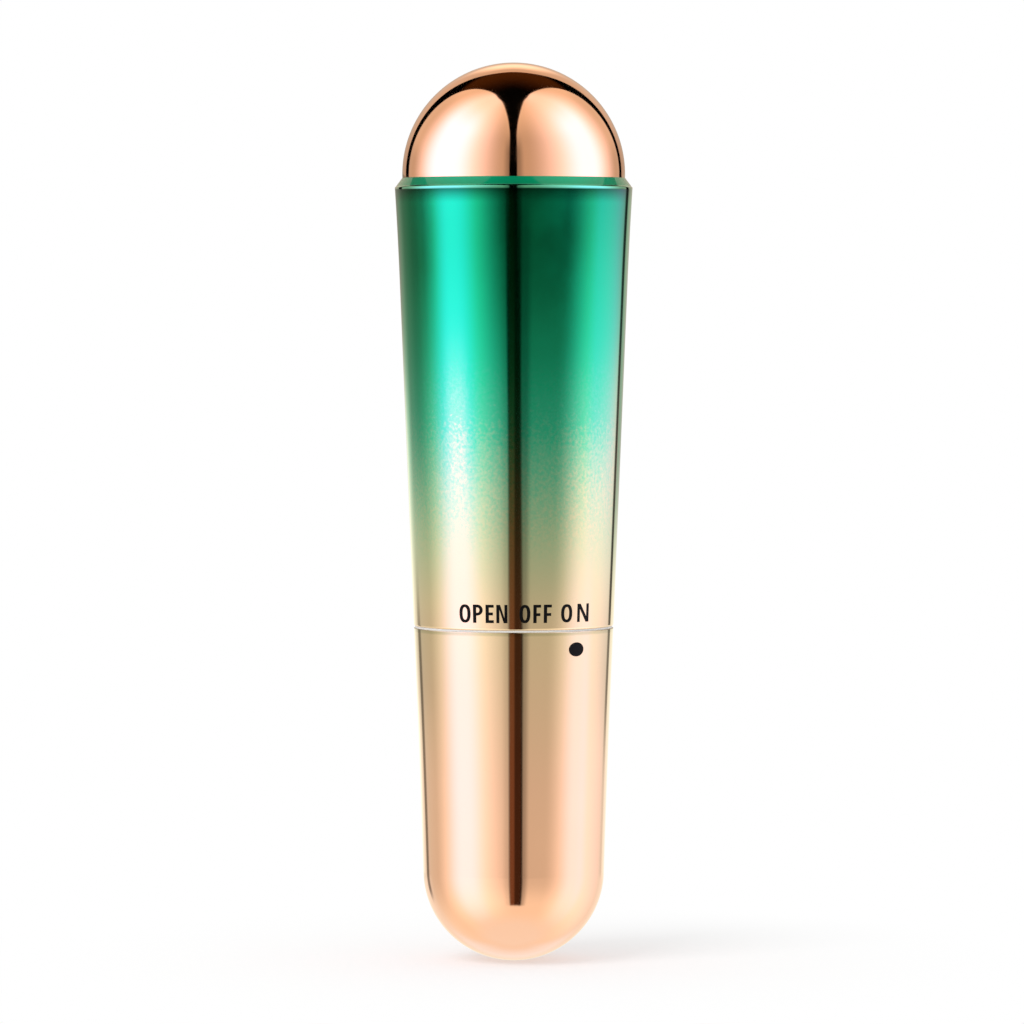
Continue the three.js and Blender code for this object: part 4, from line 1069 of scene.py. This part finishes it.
def make_world():
    """White to the camera, plain to matt surfaces, and a studio of softboxes and flags to glossy ones."""
    world = bpy.data.worlds.new("studio")
    bpy.context.scene.world = world
    world.use_nodes = True
    graph = Graph(world.node_tree)
    toward = graph.add("ShaderNodeTexCoord").outputs["Generated"]
    parts = graph.add("ShaderNodeSeparateXYZ", {0: toward})
    front = graph.calc("MULTIPLY", parts.outputs["Y"], -1.0)
    az = graph.calc("DEGREES", graph.calc("ARCTAN2", parts.outputs["X"], front))
    el = graph.calc("DEGREES", graph.calc("ARCSINE", parts.outputs["Z"]))
    slope = graph.calc("COSINE", graph.calc("RADIANS", az * 0.5)) * VIEW_SLOPE
    drop = 0 - (el + slope)
    above = graph.step(drop, *DOME_START)
    low, high = casing_light(graph, az, el, drop), dome_light(graph, az, el)
    studio = graph.total(graph.light(1 - above, low), graph.light(above, high))

    path = graph.add("ShaderNodeLightPath")
    plain = graph.add("ShaderNodeBackground", {"Color": WHITE, "Strength": PLAIN_LEVEL})
    pattern = graph.add("ShaderNodeBackground", {"Color": studio, "Strength": 1.0})
    white = graph.add("ShaderNodeBackground", {"Color": WHITE, "Strength": 1.0})
    seen = graph.calc("MAXIMUM", path.outputs["Is Camera Ray"], path.outputs["Is Transmission Ray"])
    glossy = path.outputs["Is Glossy Ray"]
    lights = graph.add("ShaderNodeMixShader", {0: glossy, 1: plain.outputs[0], 2: pattern.outputs[0]})
    whole = graph.add("ShaderNodeMixShader", {0: seen, 1: lights.outputs[0], 2: white.outputs[0]})
    graph.add("ShaderNodeOutputWorld", {"Surface": whole.outputs[0]})


# The floor fades to plain white between two distances from the wand, in metres
FLOOR_RADIUS = 6.0
FLOOR_SIDES = 96
FLOOR_GRAIN_SIZE = 0.8 * MM
FLOOR_TONES = ((0.97, 0.97, 0.97, 1.0), (0.98, 0.98, 0.98, 1.0))
FLOOR_FADE = (0.012, 0.06, 0.45, 1.0)

LAMP_SIZE = 0.8
LAMP_POWER = 9.5
LAMP_PLACE = (-0.7, -0.9, 1.1)
LAMP_AIM = Vector((0, 0, 0.05))


def make_floor():
    """A pale floor that keeps the wand's soft shadow and turns white away from it."""
    bm = bmesh.new()
    bmesh.ops.create_circle(bm, cap_ends=True, segments=FLOOR_SIDES, radius=FLOOR_RADIUS)
    floor = finish_mesh("studio_floor", bm)
    material = bpy.data.materials.new("pale_floor")
    material.use_nodes = True
    graph = Graph(material.node_tree)
    spot = graph.position()
    away = graph.add("ShaderNodeVectorMath", {0: spot}, operation="LENGTH").outputs["Value"]
    tone = graph.mix(graph.noise(spot, FLOOR_GRAIN_SIZE, 3.0), *FLOOR_TONES)
    matt = graph.add("ShaderNodeBsdfDiffuse", {"Color": tone})
    white = graph.add("ShaderNodeEmission", {"Color": WHITE, "Strength": 1.0})
    share = graph.step(away, *FLOOR_FADE)
    mixed = graph.add("ShaderNodeMixShader", {0: share, 1: matt.outputs[0], 2: white.outputs[0]})
    graph.add("ShaderNodeOutputMaterial", {"Surface": mixed.outputs[0]})
    floor.data.materials.append(material)
    floor.visible_glossy = False


def make_lamp():
    """A broad soft lamp from the upper left, which glossy surfaces don't see."""
    data = bpy.data.lights.new("soft_lamp", "AREA")
    data.shape = "SQUARE"
    data.size = LAMP_SIZE
    data.energy = LAMP_POWER
    lamp = bpy.data.objects.new("soft_lamp", data)
    lamp.location = LAMP_PLACE
    lamp.rotation_mode = "QUATERNION"
    lamp.rotation_quaternion = (LAMP_AIM - lamp.location).to_track_quat("-Z", "Y")
    lamp.visible_glossy = False
    bpy.context.scene.collection.objects.link(lamp)


def make_camera():
    """The camera that sees the wand as the photograph does."""
    data = bpy.data.cameras.new("photo_camera")
    data.sensor_width = SENSOR_WIDTH
    data.lens = CAMERA_LENS
    camera = bpy.data.objects.new("photo_camera", data)
    camera.location = (CAMERA_X, -CAMERA_DISTANCE, CAMERA_Z)
    camera.rotation_euler = (math.radians(90 - CAMERA_DROP), 0, 0)
    bpy.context.scene.collection.objects.link(camera)
    bpy.context.scene.camera = camera


make_camera()
lower_finish, upper_finish = make_shell_finishes()
ink = make_ink_finish()
make_lower_shell(lower_finish)
make_upper_shell(upper_finish)
make_seam_ring(moulded("seam_nylon", rgb(226, 224, 220), 0.45))
make_dome(make_dome_finish())
make_switch_marks(ink)
make_switch_dot(ink)
dress_nodes()
make_world()
make_floor()
make_lamp()
bpy.context.scene.view_settings.view_transform = "Standard"
